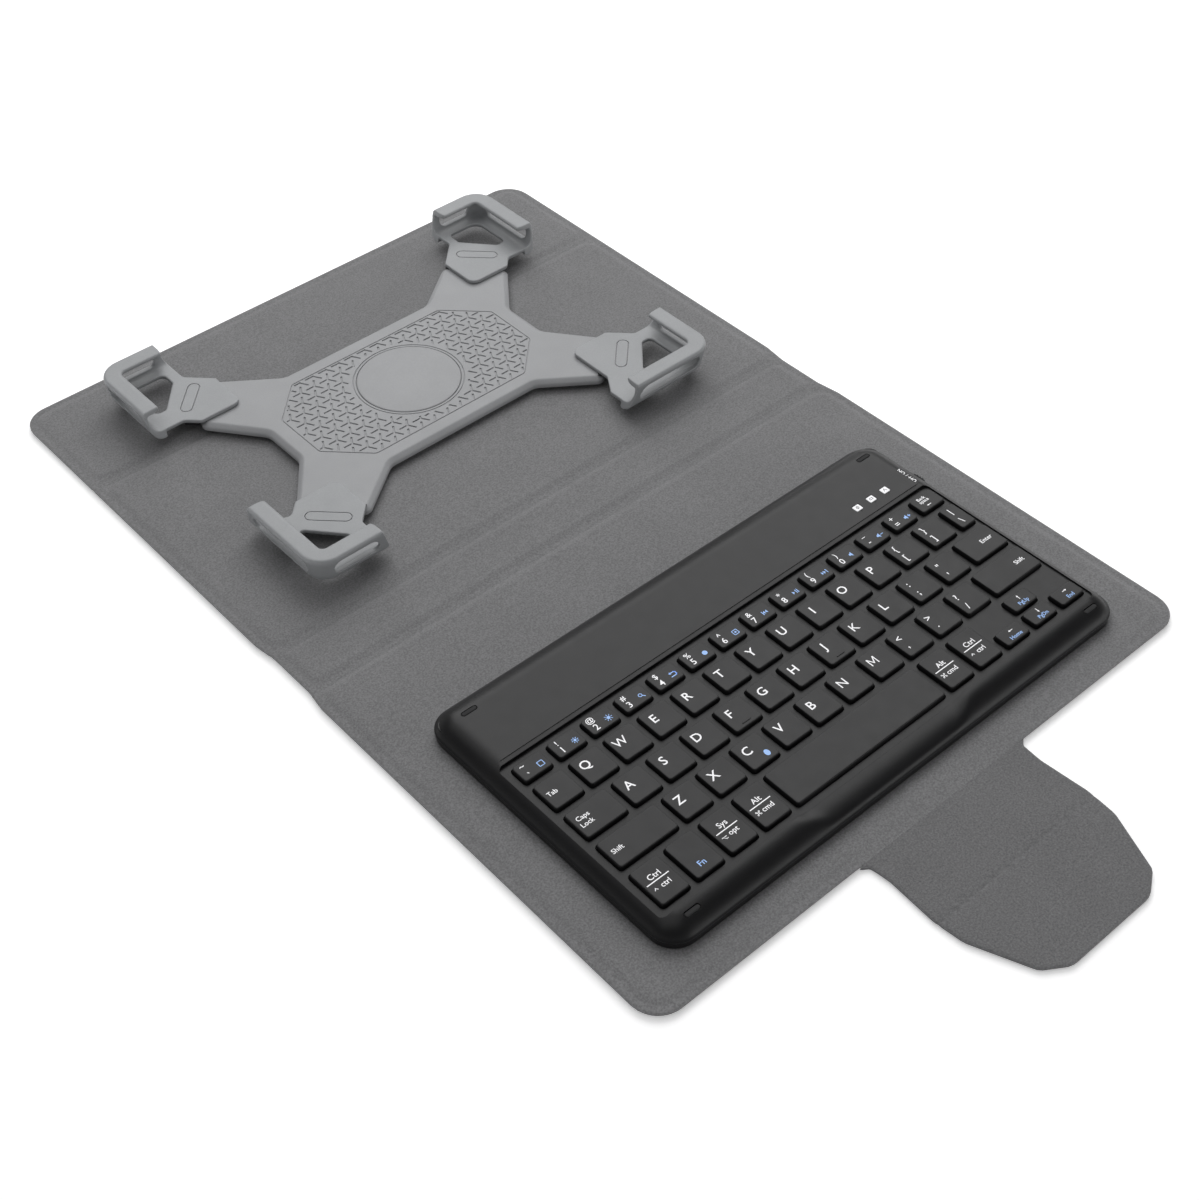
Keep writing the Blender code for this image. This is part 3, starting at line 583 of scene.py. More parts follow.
def build_materials():
    return {
        "lining": microfibre("microfibre_lining", (123, 123, 124)),
        "flap": microfibre("microfibre_flap", (112, 112, 113)),
        "skin": synthetic_leather("grained_outer_skin", (84, 84, 86)),
        "shell": moulded_plastic("satin_shell", (22, 22, 23), 0.36, 0.35, 0.015, gloss=0.27),
        "key": moulded_plastic("matte_key_cap", (22, 22, 23), 0.42, 0.25, 0.012, 2, 0.2, gloss=0.32),
        "rubber": moulded_plastic("black_rubber_pad", (34, 34, 35), 0.8, 0.4, 0.04),
        "white": print_ink_with_glow("white_legend", (236, 236, 238)),
        "blue": print_ink_with_glow("blue_legend", (148, 182, 232)),
        "dark": print_ink_with_glow("dark_symbol", (60, 60, 64)),
        # The last colour of the holder and the grips is painted on their edges as a highlight.
        "holder": moulded_plastic("grey_holder", (156, 157, 159), 0.5, 0.4, 0.02, 3, 0.4, (194, 195, 197)),
        "grip": moulded_plastic("grey_grip", (150, 152, 154), 0.42, 0.4, 0.015, 3, 0.6, (208, 209, 211)),
        "rail": moulded_plastic("black_slide_rail", (26, 26, 27), 0.6, 0.4, 0.02),
        "steel": brushed_metal("plated_steel_finish", (168, 168, 170)),
        "wire": brushed_metal("drawn_spring_wire", (176, 176, 178)),
        "foil": brushed_metal("battery_pouch", (176, 178, 182)),
        "board": fibre_board("pressed_board", (150, 132, 108)),
        "sheet": moulded_plastic("silicone_domes", (190, 192, 196), 0.55, 0.6, 0.03, 4),
        "circuit": lacquered_board("lacquered_circuit", (28, 88, 58)),
    }


# Cover -------------------------------------------------------------------------------------

def cover_outline():
    """The panels' outline, drawn in a little at the spine."""
    wide, narrow = HALF_WIDTH, SPINE_HALF_WIDTH
    ends = ((wide, FRONT_EDGE), (wide, CREASE_A - NECK_FAR), (narrow, CREASE_A + NECK_NEAR),
            (narrow, CREASE_B - NECK_NEAR), (wide, CREASE_B + NECK_FAR), (wide, REAR_EDGE))
    return mirrored([(x, y, COVER_CORNER) for x, y in ends], 12)


def flap_outline():
    """Cut corners at the tip, slightly waisted sides and a flared root."""
    w = FLAP_HALF
    right = [(21.0, FLAP_END, 9.0), (w - 10.8, FLAP_END + 6.3, 5.0), (w - 0.7, FLAP_CREASE - 10.4, 7.0),
             (w + 0.5, FLAP_CREASE + 2.0, 20.0), (w - 0.9, FRONT_EDGE - 11.0, 16.0),
             (w - 0.1, FRONT_EDGE - 2.2, 1.2), (w + 2.4, FRONT_EDGE, 0.0)]
    return mirrored(right, 10)


def half_widths(outline, rows):
    """Half width of a symmetric outline at each row."""
    side = sorted((y, x) for x, y in outline if x > 0)
    ys = np.array([y for y, _ in side])
    xs = np.array([x for _, x in side])
    return np.interp(rows, ys, xs)


def edge_distance(outline, x, y):
    """Distance of every grid point to the outline."""
    points = np.array(outline)
    best = np.full(x.shape, 1e9)
    for (ax, ay), (bx, by) in zip(points, np.roll(points, -1, axis=0)):
        dx, dy = bx - ax, by - ay
        length = dx * dx + dy * dy
        if length < 1e-9:
            continue
        t = np.clip(((x - ax) * dx + (y - ay) * dy) / length, 0.0, 1.0)
        best = np.minimum(best, np.hypot(x - ax - t * dx, y - ay - t * dy))
    return best


def fill_rows(y0, y1, edges, crease, coarse):
    """Row positions: close together at free edges and the crease, at most coarse apart elsewhere."""
    stops = {y0, y1}
    for edge in edges:
        inward = 1.0 if edge == y0 else -1.0
        stops.update(edge + inward * step for step in EDGE_STEPS)
    stops.update(float(crease + r) for r in np.arange(-CREASE_ROWS, CREASE_ROWS + ROW_PITCH / 2.0, ROW_PITCH))
    stops = sorted(s for s in stops if y0 <= s <= y1)
    rows = [stops[0]]
    for stop in stops[1:]:
        start = rows[-1]
        gap = stop - start
        if gap < LEAST_PITCH:
            continue
        parts = max(1, math.ceil(gap / coarse))
        rows.extend(start + gap * (k + 1) / parts for k in range(parts))
    return np.array(rows)


def columns_at(half, count):
    """Column offsets across a row of the given half width."""
    steps = np.array(EDGE_STEPS)
    inner = np.linspace(-1.0, 1.0, count)[1:-1]
    return np.concatenate([-half + steps, inner * (half - steps[-1]), (half - steps)[::-1]])


def sheet(name, outline, rows, top, bottom, material):
    """Closed thin layer over the rows of a symmetric outline."""
    halves = half_widths(outline, rows)
    count = WIDE_COLUMNS if halves.max() > WIDE_HALF else NARROW_COLUMNS
    x = np.array([columns_at(half, count) for half in halves])
    y = np.repeat(rows[:, None], x.shape[1], axis=1)
    d = edge_distance(outline, x, y)
    high, low = top(x, y, d), bottom(x, y, d)
    m, n = x.shape
    verts = [point for z in (high, low) for point in zip(x.ravel(), y.ravel(), z.ravel())]
    under = m * n
    faces = []
    for i in range(m - 1):
        for j in range(n - 1):
            a, b, c, e = i * n + j, i * n + j + 1, (i + 1) * n + j + 1, (i + 1) * n + j
            faces.append((a, b, c, e))
            faces.append((under + e, under + c, under + b, under + a))
    border = list(range(n)) + [i * n + n - 1 for i in range(1, m)]
    border += [(m - 1) * n + j for j in range(n - 2, -1, -1)] + [i * n for i in range(m - 2, 0, -1)]
    for k, a in enumerate(border):
        b = border[(k + 1) % len(border)]
        faces.append((b, a, under + a, under + b))
    shape = Shape()
    shape.add(verts, faces)
    return shape.build(name, [material], 50.0)


def ripple(x, y):
    """Slow unevenness of cloth glued on a board, in millimetres."""
    a = np.sin(x / 31.0 + 0.7 * np.sin(y / 23.0)) * np.sin(y / 27.0 + 0.4)
    b = np.sin((x + 1.7 * y) / 17.0) * np.sin((y - 0.6 * x) / 13.0)
    return 0.07 * a + 0.03 * b


def pressed_line(distance, width, depth):
    return depth * np.exp(-(distance / width) ** 2)


def panel_reach(x, y, half, y0, y1, radius):
    """Distance inside a rounded rectangle (negative outside)."""
    cy, hy = (y0 + y1) / 2.0, (y1 - y0) / 2.0
    qx = np.abs(x) - (half - radius)
    qy = np.abs(y - cy) - (hy - radius)
    outside = np.hypot(np.maximum(qx, 0.0), np.maximum(qy, 0.0))
    inside = np.minimum(np.maximum(qx, qy), 0.0)
    return radius - outside - inside


def panels():
    """The four embossed areas: half width, front and rear limits, corner radius."""
    wide, narrow, fold = HALF_WIDTH - RIM_WIDTH, SPINE_HALF_WIDTH - RIM_WIDTH, CREASE_HALF
    return (
        (wide, FRONT_EDGE + RIM_WIDTH, CREASE_A - fold, 7.0),
        (narrow, CREASE_A + fold, CREASE_B - fold, 4.5),
        (wide, CREASE_B + fold, CREASE_C - STRIP_CREASE_HALF, 6.0),
        (wide, CREASE_C + STRIP_CREASE_HALF, REAR_EDGE - RIM_WIDTH, 6.0),
    )


def cover_top(x, y, d):
    """Upper face of the lining: embossed panels, turned rim, folded creases, tucked flap root."""
    reach = np.full(x.shape, -9.0)
    for half, y0, y1, radius in panels():
        reach = np.maximum(reach, panel_reach(x, y, half, y0, y1, radius))
    z = LINING_TOP - RIM_DROP * (1.0 - smooth(reach, -0.4, 2.6)) + pressed_line(reach - 2.8, 1.1, 0.05)
    for crease, half in ((CREASE_A, CREASE_HALF), (CREASE_B, CREASE_HALF), (CREASE_C, STRIP_CREASE_HALF)):
        inner = smooth(d, 2.0, 8.0)
        z = z - 0.22 * inner * (1.0 - smooth(np.abs(y - crease), half - 1.2, half + 0.4))
        z = z - pressed_line(y - crease + half - 0.4, 0.9, 0.16) * inner
    z = z - pressed_line(d - 2.9, 0.45, 0.08)
    seams = smooth(np.abs(y - SEAM_SPINE), 2.0, 6.0) * smooth(np.abs(y - SEAM_BACK), 2.0, 6.0)
    z = z + ripple(x, y) * smooth(d, 1.0, 7.0) * seams
    flap = flap_share(x, y, 3.2)
    rounded = 0.25 * np.clip(1.0 - d / 0.8, 0.0, 1.0) ** 2
    return (z - rounded) * (1.0 - flap) + FLAP_TOP * flap


def flap_share(x, y, depth):
    """1 where the flap runs in under the front rim, 0 elsewhere."""
    across = 1.0 - smooth(np.abs(x), FLAP_HALF - 2.0, FLAP_HALF + 3.5)
    return across * (1.0 - smooth(y, FRONT_EDGE, FRONT_EDGE + depth))


def rim_lift(x, y, d):
    """The skin rises to meet the lining in a thin turned rim outside the boards."""
    return RIM_LIFT * (1.0 - smooth(d, 0.4, 4.8)) * (1.0 - flap_share(x, y, 6.0))


def cover_under(x, y, d):
    """Underside of the lining: lifts over the boards, glued down at rim and creases."""
    lift = smooth(d, 3.6, 4.8)
    for crease, reach in ((CREASE_A, 3.6), (CREASE_B, 3.6), (CREASE_C, 4.0)):
        lift = lift * smooth(np.abs(y - crease), reach - 1.4, reach)
    return LINING_UNDER + (BOARD_TOP + 0.1 - LINING_UNDER) * lift + rim_lift(x, y, d)


def skin_top(x, y, d):
    return SKIN_TOP + rim_lift(x, y, d)


def skin_under(x, y, d):
    z = 0.35 * np.clip(1.0 - d / 0.7, 0.0, 1.0) ** 2 + rim_lift(x, y, d)
    for crease in (CREASE_A, CREASE_B, CREASE_C):
        z = z + pressed_line(y - crease, 0.8, 0.32)
    return z + pressed_line(d - BOARD_EDGE, 0.7, 0.08)


def flap_top(x, y, d):
    rounded = 0.3 * np.clip(1.0 - d / 0.8, 0.0, 1.0) ** 2 * smooth(FRONT_EDGE - y, 0.2, 2.0)
    z = FLAP_TOP - rounded - pressed_line(y - FLAP_CREASE, 0.7, 0.3)
    z = z - 0.12 * (1.0 - smooth(np.abs(y - FLAP_CREASE), 1.0, 3.5))
    return z + 0.6 * ripple(x * 1.6, y * 1.6) * smooth(d, 0.8, 6.0) * smooth(np.abs(y - SEAM_FLAP), 2.0, 6.0)


def flap_lift(y, d):
    return FLAP_LIFT * (1.0 - smooth(d, 0.2, 3.0)) * smooth(FRONT_EDGE - y, 0.5, 6.0)


def flap_under(x, y, d):
    low, high = node_box("flap_tip_magnet")
    over = smooth(x, low.x - 1.0, low.x) * smooth(-x, -high.x - 1.0, -high.x)
    over = over * smooth(y, low.y - 1.0, low.y) * smooth(-y, -high.y - 1.0, -high.y)
    return FLAP_SKIN_TOP + 0.08 + (high.z + 0.05 - FLAP_SKIN_TOP - 0.08) * over + flap_lift(y, d)


def flap_skin_top(x, y, d):
    return FLAP_SKIN_TOP + flap_lift(y, d)


def flap_skin_under(x, y, d):
    z = 0.3 * np.clip(1.0 - d / 0.7, 0.0, 1.0) ** 2 * smooth(FRONT_EDGE - y, 0.2, 2.0)
    return z + pressed_line(y - FLAP_CREASE, 0.8, 0.25) + flap_lift(y, d)


def build_layers(outline, coarse, layers, spans):
    """Sheets of each layer, one for each crease, with rows packed at it; a layer stands for its CAD nodes, which
    are hidden.
    """
    for name, y0, y1, edges, crease, reach, body_a, body_b, nodes in spans:
        rows = fill_rows(y0, y1, edges, crease, coarse)
        for prefix, top, under, look, slot, suffix in layers:
            piece = sheet(prefix + name, outline, rows, top, under, look)
            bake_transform(piece)
            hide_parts(*[node + suffix for node in nodes])


def build_cover(looks):
    """The folding cover in three spans, then the closing flap in two."""
    lining = ("lining_", cover_top, cover_under, looks["lining"], "lining_cloth", "_lining")
    skin = ("skin_", skin_top, skin_under, looks["skin"], "outer_skin", "_outer_skin")
    build_layers(cover_outline(), 3.2, (lining, skin), (
        ("keyboard_to_spine", FRONT_EDGE, SEAM_SPINE, (FRONT_EDGE,), CREASE_A, SPINE_BEND,
         "keyboard_side", "spine", ("keyboard_panel", "spine")),
        ("spine_to_back", SEAM_SPINE, SEAM_BACK, (), CREASE_B, SPINE_BEND,
         "spine", "back_cover", ("back_panel",)),
        ("back_to_strip", SEAM_BACK, REAR_EDGE, (REAR_EDGE,), CREASE_C, STRIP_BEND,
         "back_cover", "stand_strip", ("stand_strip",)),
    ))
    lining = ("flap_lining_", flap_top, flap_under, looks["flap"], "lining_cloth", "_lining")
    skin = ("flap_skin_", flap_skin_top, flap_skin_under, looks["skin"], "outer_skin", "_outer_skin")
    build_layers(flap_outline(), 2.4, (lining, skin), (
        ("root", SEAM_FLAP, FRONT_EDGE, (), FLAP_ROOT - 1.5, FLAP_BEND,
         "flap_neck", "keyboard_side", ("flap_neck",)),
        ("tip", FLAP_END, SEAM_FLAP, (FLAP_END,), FLAP_CREASE, FLAP_BEND,
         "flap_tip", "flap_neck", ("flap_tip",)),
    ))


# Keyboard ----------------------------------------------------------------------------------

def even_ring(x0, x1, y0, y1, radius, z):
    """Rounded rectangle with the same number of points whatever its size."""
    along_x, along_y, round_steps = 120, 60, 10
    points = []
    corners = ((x1 - radius, y0 + radius, -90.0), (x1 - radius, y1 - radius, 0.0),
               (x0 + radius, y1 - radius, 90.0), (x0 + radius, y0 + radius, 180.0))
    for k, (cx, cy, start) in enumerate(corners):
        for s in range(round_steps + 1):
            a = math.radians(start + 90.0 * s / round_steps)
            points.append((cx + radius * math.cos(a), cy + radius * math.sin(a), z))
        nx, ny, after = corners[(k + 1) % 4]
        a = math.radians(after)
        end = (nx + radius * math.cos(a), ny + radius * math.sin(a))
        here = points[-1]
        count = along_y if k % 2 == 0 else along_x
        for s in range(1, count):
            t = s / count
            points.append((here[0] + (end[0] - here[0]) * t, here[1] + (end[1] - here[1]) * t, z))
    return points


def scoop_share(x, y):
    """1 inside the finger scoop of the front rim, fading out at its slanted ends."""
    if y > WELL_FRONT + 0.3:
        return 0.0
    forward = min(1.0, max(0.0, (WELL_FRONT - y) / (WELL_FRONT - SHELL_LOW.y)))
    left = SCOOP[0] + SCOOP_DRAW * forward
    right = SCOOP[1] - SCOOP_DRAW * forward
    return float(smooth(x, left - 7.0, left + 3.0) * smooth(-x, -right - 7.0, -right + 3.0))


def scooped(ring):
    """Lower the front rim inside the scoop to one rolled slope from the key well to the edge."""
    points = []
    for x, y, z in ring:
        if z > RIM_EDGE:
            run = min(1.0, max(0.0, (y - SHELL_LOW.y) / (WELL_FRONT - SHELL_LOW.y)))
            low = RIM_EDGE + (DECK_TOP - 0.02 - RIM_EDGE) * (1.0 - (1.0 - run) ** 2.2) ** 0.6
            z += (min(z, low) - z) * scoop_share(x, y)
        points.append((x, y, z))
    return points


def cap_rectangles(node):
    """Top faces of the caps on a CAD key node, as (x0, x1, y0, y1) sorted from left to right."""
    mesh = frame["nodes"][node].data
    top = max(v.co.z for v in mesh.vertices)
    parent = {}

    def find(key):
        while parent[key] != key:
            key = parent[key]
        return key

    for polygon in mesh.polygons:
        corners = [mesh.vertices[i].co for i in polygon.vertices]
        if min(c.z for c in corners) < top - 1e-6:
            continue
        keys = [(round(c.x / MM, 2), round(c.y / MM, 2)) for c in corners]
        for key in keys:
            parent.setdefault(key, key)
        for key in keys[1:]:
            parent[find(key)] = find(keys[0])
    groups = {}
    for key in parent:
        groups.setdefault(find(key), []).append(key)
    rectangles = []
    for points in groups.values():
        xs = [p[0] for p in points]
        ys = [p[1] for p in points]
        rectangles.append((min(xs), max(xs), min(ys), max(ys)))
    return sorted(rectangles), top / MM


def build_top_shell(looks, rectangles):
    """Upper shell with its rolled rim, finger scoop, key well and the openings of keys and small parts."""
    x1, y0, y1 = SHELL_HIGH.x, SHELL_LOW.y, SHELL_REAR
    top = SHELL_HIGH.z

    def ring(inset_by, z):
        return even_ring(-x1 + inset_by, x1 - inset_by, y0 + inset_by, y1 - inset_by,
                         max(1.5, 11.0 - inset_by), z)

    rings = [even_ring(-x1 + 2.4, x1 - 2.4, y0 + 7.0, y1 - 4.0, 4.0, DECK_UNDER),
             even_ring(-x1 + 2.4, x1 - 2.4, y0 + 7.0, y1 - 4.0, 4.0, SHELL_FOOT)]
    rings += [ring(*step) for step in SHELL_SIDE]
    rings += [scooped(ring(*step)) for step in SHELL_SLOPE]
    rings.append(scooped(ring(WELL_FRONT - y0 + 0.05, top)))
    rings.append(ring(WELL_FRONT - y0 + 0.15, top))
    shape = Shape()
    shape.loft(rings)
    shell = shape.build("keyboard_upper_shell", [looks["shell"]])

    w = WELL_HALF
    well = Shape()
    well.loft([even_ring(-w, w, WELL_FRONT, WELL_REAR, 2.4, DECK_TOP),
               even_ring(-w, w, WELL_FRONT, WELL_REAR, 2.4, LEDGE - 0.1),
               even_ring(-w - 0.02, w + 0.02, WELL_FRONT - 0.02, WELL_REAR + 0.12, 2.4, LEDGE),
               even_ring(-w - 0.04, w + 0.04, WELL_FRONT - 0.04, WELL_MOUTH, 2.4, LEDGE + 0.16),
               even_ring(-w - 0.06, w + 0.06, WELL_FRONT - 0.06, WELL_MOUTH + 0.05, 2.4, top - 0.04),
               even_ring(-w - 0.2, w + 0.2, WELL_FRONT - 0.1, WELL_MOUTH + 0.2, 2.4, top + 1.5)])
    cut(shell, well)

    cutter = Shape()
    for left, right, front, rear in rectangles:
        hole = box_outline(left - KEY_GAP, right + KEY_GAP, front - KEY_GAP, rear + KEY_GAP, 1.6, 3)
        cutter.prism(hole, DECK_UNDER - 1.0, DECK_TOP + 1.0)
    for centre in window_centres():
        cutter.prism(window_outline(centre, WINDOW_GAP, 0.4, 3), 8.0, top + 1.0)
    for name in BUMPERS:
        x, y, length, width, high = bumper_place(name)
        cutter.prism(stadium(x, y, length + 0.4, width + 0.4), high - 1.1, top + 1.0)
    low, high = node_box("power_switch")
    cutter.prism(box_outline(x1 - 3.2, x1 + 2.0, low.y - 0.3, high.y + 3.3), 6.4, 8.6)
    low, high = node_box("charge_socket")
    cutter.prism(box_outline(x1 - 3.0, x1 + 2.0, low.y - 0.35, high.y + 0.35), low.z - 0.35, high.z + 0.35)
    cut(shell, cutter)
    shade(shell.data, 32.0)
    place(shell, "keyboard_side", "keyboard_shell", "keyboard_top_shell")


def bumper_place(name):
    """Middle, length, width and top of a rubber pad; the front pads sit on the sloped rim."""
    middle = node_middle(name)
    low, high = node_box(name)
    top = SHELL_HIGH.z + 0.06 if middle.y > 0.0 else FRONT_BUMPER_TOP
    return middle.x, middle.y, high.x - low.x, high.y - low.y, top


def build_bumpers(looks):
    for name in BUMPERS:
        x, y, length, width, top = bumper_place(name)
        levels = ((0.0, top - 1.0), (0.0, top - 0.3), (0.1, top - 0.12), (0.3, top - 0.02), (0.55, top))
        shape = Shape()
        shape.loft([raised(stadium(x, y, length - 2 * i, width - 2 * i), z) for i, z in levels])
        place(shape.build(name + "_pad", [looks["rubber"]]), "keyboard_side", "black_rubber", name)


def window_centres():
    low, high = node_box("indicator_windows")
    pitch = (high.x - low.x - 2.0 * WINDOW_EDGE) / 2.0
    return [(low.x + WINDOW_EDGE + k * pitch, node_middle("indicator_windows").y) for k in range(3)]


def window_outline(centre, grow, radius, steps=6):
    x, y = centre
    hx, hy = WINDOW_HALF[0] + grow, WINDOW_HALF[1] + grow
    return box_outline(x - hx, x + hx, y - hy, y + hy, radius, steps)


def build_windows(looks):
    """White printed squares with a small dark symbol each, on the light pipe."""
    low, high = node_box("indicator_windows")
    shape = Shape()
    shape.prism(box_outline(low.x, high.x, low.y, high.y, 0.8), low.z, low.z + 0.8)
    z = high.z
    centres = window_centres()
    for centre in centres:
        outline = window_outline(centre, 0.0, 0.35)
        shape.loft([raised(inset(outline, i), level)
                    for i, level in ((0.0, low.z + 0.7), (0.0, z - 0.08), (0.08, z))])
    dark = (z - 0.02, z + 0.03, 1)
    x, y = centres[0]
    shape.tube(ring_outline(0.75, (x, y), 24), ring_outline(0.5, (x, y), 24), *dark)
    shape.bar((x, y - 0.75), (x, y + 0.75), 0.22, *dark)
    x, y = centres[1]
    shape.tube(box_outline(x - 0.9, x + 0.9, y - 0.55, y + 0.55, 0.1),
               box_outline(x - 0.68, x + 0.68, y - 0.33, y + 0.33, 0.1), *dark)
    x, y = centres[2]
    shape.bar((x - 0.7, y - 0.6), (x, y + 0.7), 0.24, *dark)
    shape.bar((x, y + 0.7), (x + 0.7, y - 0.6), 0.24, *dark)
    for x, y in centres:
        shape.prism(ring_outline(0.32, (x, y - 2.35), 16), z - 0.02, z + 0.02, 2)
    obj = shape.build("indicator_squares", [looks["white"], looks["dark"], looks["rubber"]])
    place(obj, "keyboard_side", "indicator_window", "indicator_windows")


def build_switch(looks):
    """Power slider with a ribbed tip that ends inside the shell's sloped side."""
    low, high = node_box("power_switch")
    shape = Shape()
    shape.prism(box_outline(low.x, high.x - 4.0, low.y, high.y, 0.5), low.z, high.z)
    front, rear = low.y + 0.6, high.y - 0.6
    middle = (low.z + high.z) / 2.0
    tip = SHELL_HIGH.x - 0.2
    rings = []
    for x, trim in ((tip - 4.4, 0.0), (tip - 0.5, 0.0), (tip - 0.2, 0.08), (tip, 0.3)):
        y0, y1, z0, z1 = front + trim, rear - trim, middle - (0.7 - trim), middle + (0.7 - trim)
        rings.append([(x, y0, z0), (x, y1, z0), (x, y1, z1), (x, y0, z1)])
    shape.loft(rings)
    for k in range(3):
        y = front + (k + 1) * (rear - front) / 4.0
        shape.prism(box_outline(tip - 0.4, tip + 0.25, y - 0.25, y + 0.25, 0.1), middle - 0.6, middle + 0.6)
    slider = shape.build("power_switch_slider", [looks["rubber"]])
    place(slider, "power_switch", "keyboard_shell", "power_switch")


def build_socket(looks):
    """Charging socket: a thin steel sleeve set back in the shell's side, with its contact tongue."""
    low, high = node_box("charge_socket")
    middle = node_middle("charge_socket")
    half_y, half_z = (high.y - low.y) / 2.0, (high.z - low.z) / 2.0
    outer = box_outline(-half_y, half_y, -half_z, half_z, 0.9, 5)
    inner = box_outline(-half_y + 0.3, half_y - 0.3, -half_z + 0.3, half_z - 0.3, 0.65, 5)
    tongue = box_outline(-half_y + 1.1, half_y - 1.1, -0.35, 0.1, 0.1, 5)
    back, mouth = low.x, SHELL_HIGH.x - 1.75
    shape = Shape()
    for sections in (((back, outer), (mouth, outer), (mouth, inner), (back + 0.4, inner)),
                     ((back, tongue), (mouth - 0.7, tongue))):
        shape.loft([[(x, middle.y + y, middle.z - 0.25 + z) for y, z in ring] for x, ring in sections])
    sleeve = shape.build("charge_socket_sleeve", [looks["steel"]])
    place(sleeve, "keyboard_side", "plated_steel", "charge_socket")


# Keys and their printing -------------------------------------------------------------------

FONT_PROBE = {}


def letter_scale():
    """Millimetres of capital height for a text size of one metre."""
    if "scale" not in FONT_PROBE:
        verts, _ = flat_text("H")
        ys = [v[1] for v in verts]
        FONT_PROBE["scale"] = max(ys) - min(ys)
    return FONT_PROBE["scale"]


def flat_text(body):
    """Vertices and faces of a filled text of size one, lying flat; sharp letters are thickened less."""
    curve = bpy.data.curves.new("legend", 'FONT')
    curve.body = body
    curve.size = 1.0
    curve.resolution_u = 3
    curve.offset = 0.002 if body in ("N", "W", "K") else 0.009
    curve.extrude = 0.01
    obj = add_object("legend", curve)
    graph = bpy.context.evaluated_depsgraph_get()
    mesh = bpy.data.meshes.new_from_object(obj.evaluated_get(graph))
    verts = [tuple(v.co) for v in mesh.vertices]
    faces = [tuple(p.vertices) for p in mesh.polygons]
    bpy.data.meshes.remove(mesh)
    bpy.data.objects.remove(obj, do_unlink=True)
    bpy.data.curves.remove(curve)
    return verts, faces


def print_text(shape, body, height, x, y, z, look=WHITE, turn=0.0):
    """Centre a text of the given capital height on (x, y), as thin ink on the height z."""
    verts, faces = flat_text(body)
    k = height / letter_scale()
    xs = [v[0] for v in verts]
    ys = [v[1] for v in verts]
    cx, cy = (min(xs) + max(xs)) / 2.0, (min(ys) + max(ys)) / 2.0
    c, s = math.cos(turn), math.sin(turn)
    out = []
    for vx, vy, vz in verts:
        px, py = (vx - cx) * k, (vy - cy) * k
        level = z + INK_OVER if vz > 0 else z - INK_UNDER
        out.append((x + px * c - py * s, y + px * s + py * c, level))
    shape.add(out, faces, look)


def ink(z, look=WHITE):
    """Lower and upper level and material number of printing on the height z."""
    return z - INK_UNDER, z + INK_OVER, look


def head(x, way, size=0.62):
    """Solid triangle of a play or skip symbol, pointing left (-1) or right (1)."""
    return [(x - way * size * 0.5, -size), (x + way * size * 0.6, 0.0), (x - way * size * 0.5, size)]


def square(half, radius):
    return box_outline(-half, half, -half, half, radius, 3)


def rays(near, far):
    """Eight short strokes round a sun."""
    return [(near * math.cos(a), near * math.sin(a), far * math.cos(a), far * math.sin(a), 0.22)
            for a in [math.radians(45.0 * k) for k in range(8)]]


def turned(points, quarters):
    for _ in range(quarters):
        points = [(-y, x) for x, y in points]
    return points


# Function symbols about 2.4 mm wide: solid patches, frames of two outlines, strokes (x0, y0, x1, y1, width)
SPEAKER = ((-1.2, -0.35), (-0.75, -0.35), (-0.15, -0.9), (-0.15, 0.9), (-0.75, 0.35), (-1.2, 0.35))
SUN_RADIUS = {"dim": 0.42, "bright": 0.62}
PATCHES = {
    "window": (ring_outline(0.42, count=16),),
    "dim": (ring_outline(SUN_RADIUS["dim"], count=20),),
    "bright": (ring_outline(SUN_RADIUS["bright"], count=20),),
    "back": (((-0.55, 1.15), (-1.15, 0.65), (-0.55, 0.15)),),
    "globe": (ring_outline(1.15, count=28),),
    "previous": (head(-0.55, -1.0), head(0.25, -1.0)),
    "next": (head(-0.55, 1.0), head(0.25, 1.0)),
    "play": (head(-0.55, 1.0),),
    "mute": (SPEAKER,), "quieter": (SPEAKER,), "louder": (SPEAKER,),
    "oval": ([(1.1 * math.cos(math.radians(10.0 * k)), 1.5 * math.sin(math.radians(10.0 * k)))
              for k in range(36)],),
}
FRAMES = {
    "square": ((square(1.15, 0.3), square(0.87, 0.12)),),
    "window": ((square(1.15, 0.3), square(0.87, 0.12)),),
    "magnifier": ((ring_outline(0.8, (-0.25, 0.3), 24), ring_outline(0.52, (-0.25, 0.3), 24)),),
    "loops": ((square(0.45, 0.05), square(0.24, 0.02)),
              *[(ring_outline(0.36, (x, y), 12), ring_outline(0.16, (x, y), 12))
                for x, y in ((0.66, 0.66), (-0.66, 0.66), (-0.66, -0.66), (0.66, -0.66))]),
}
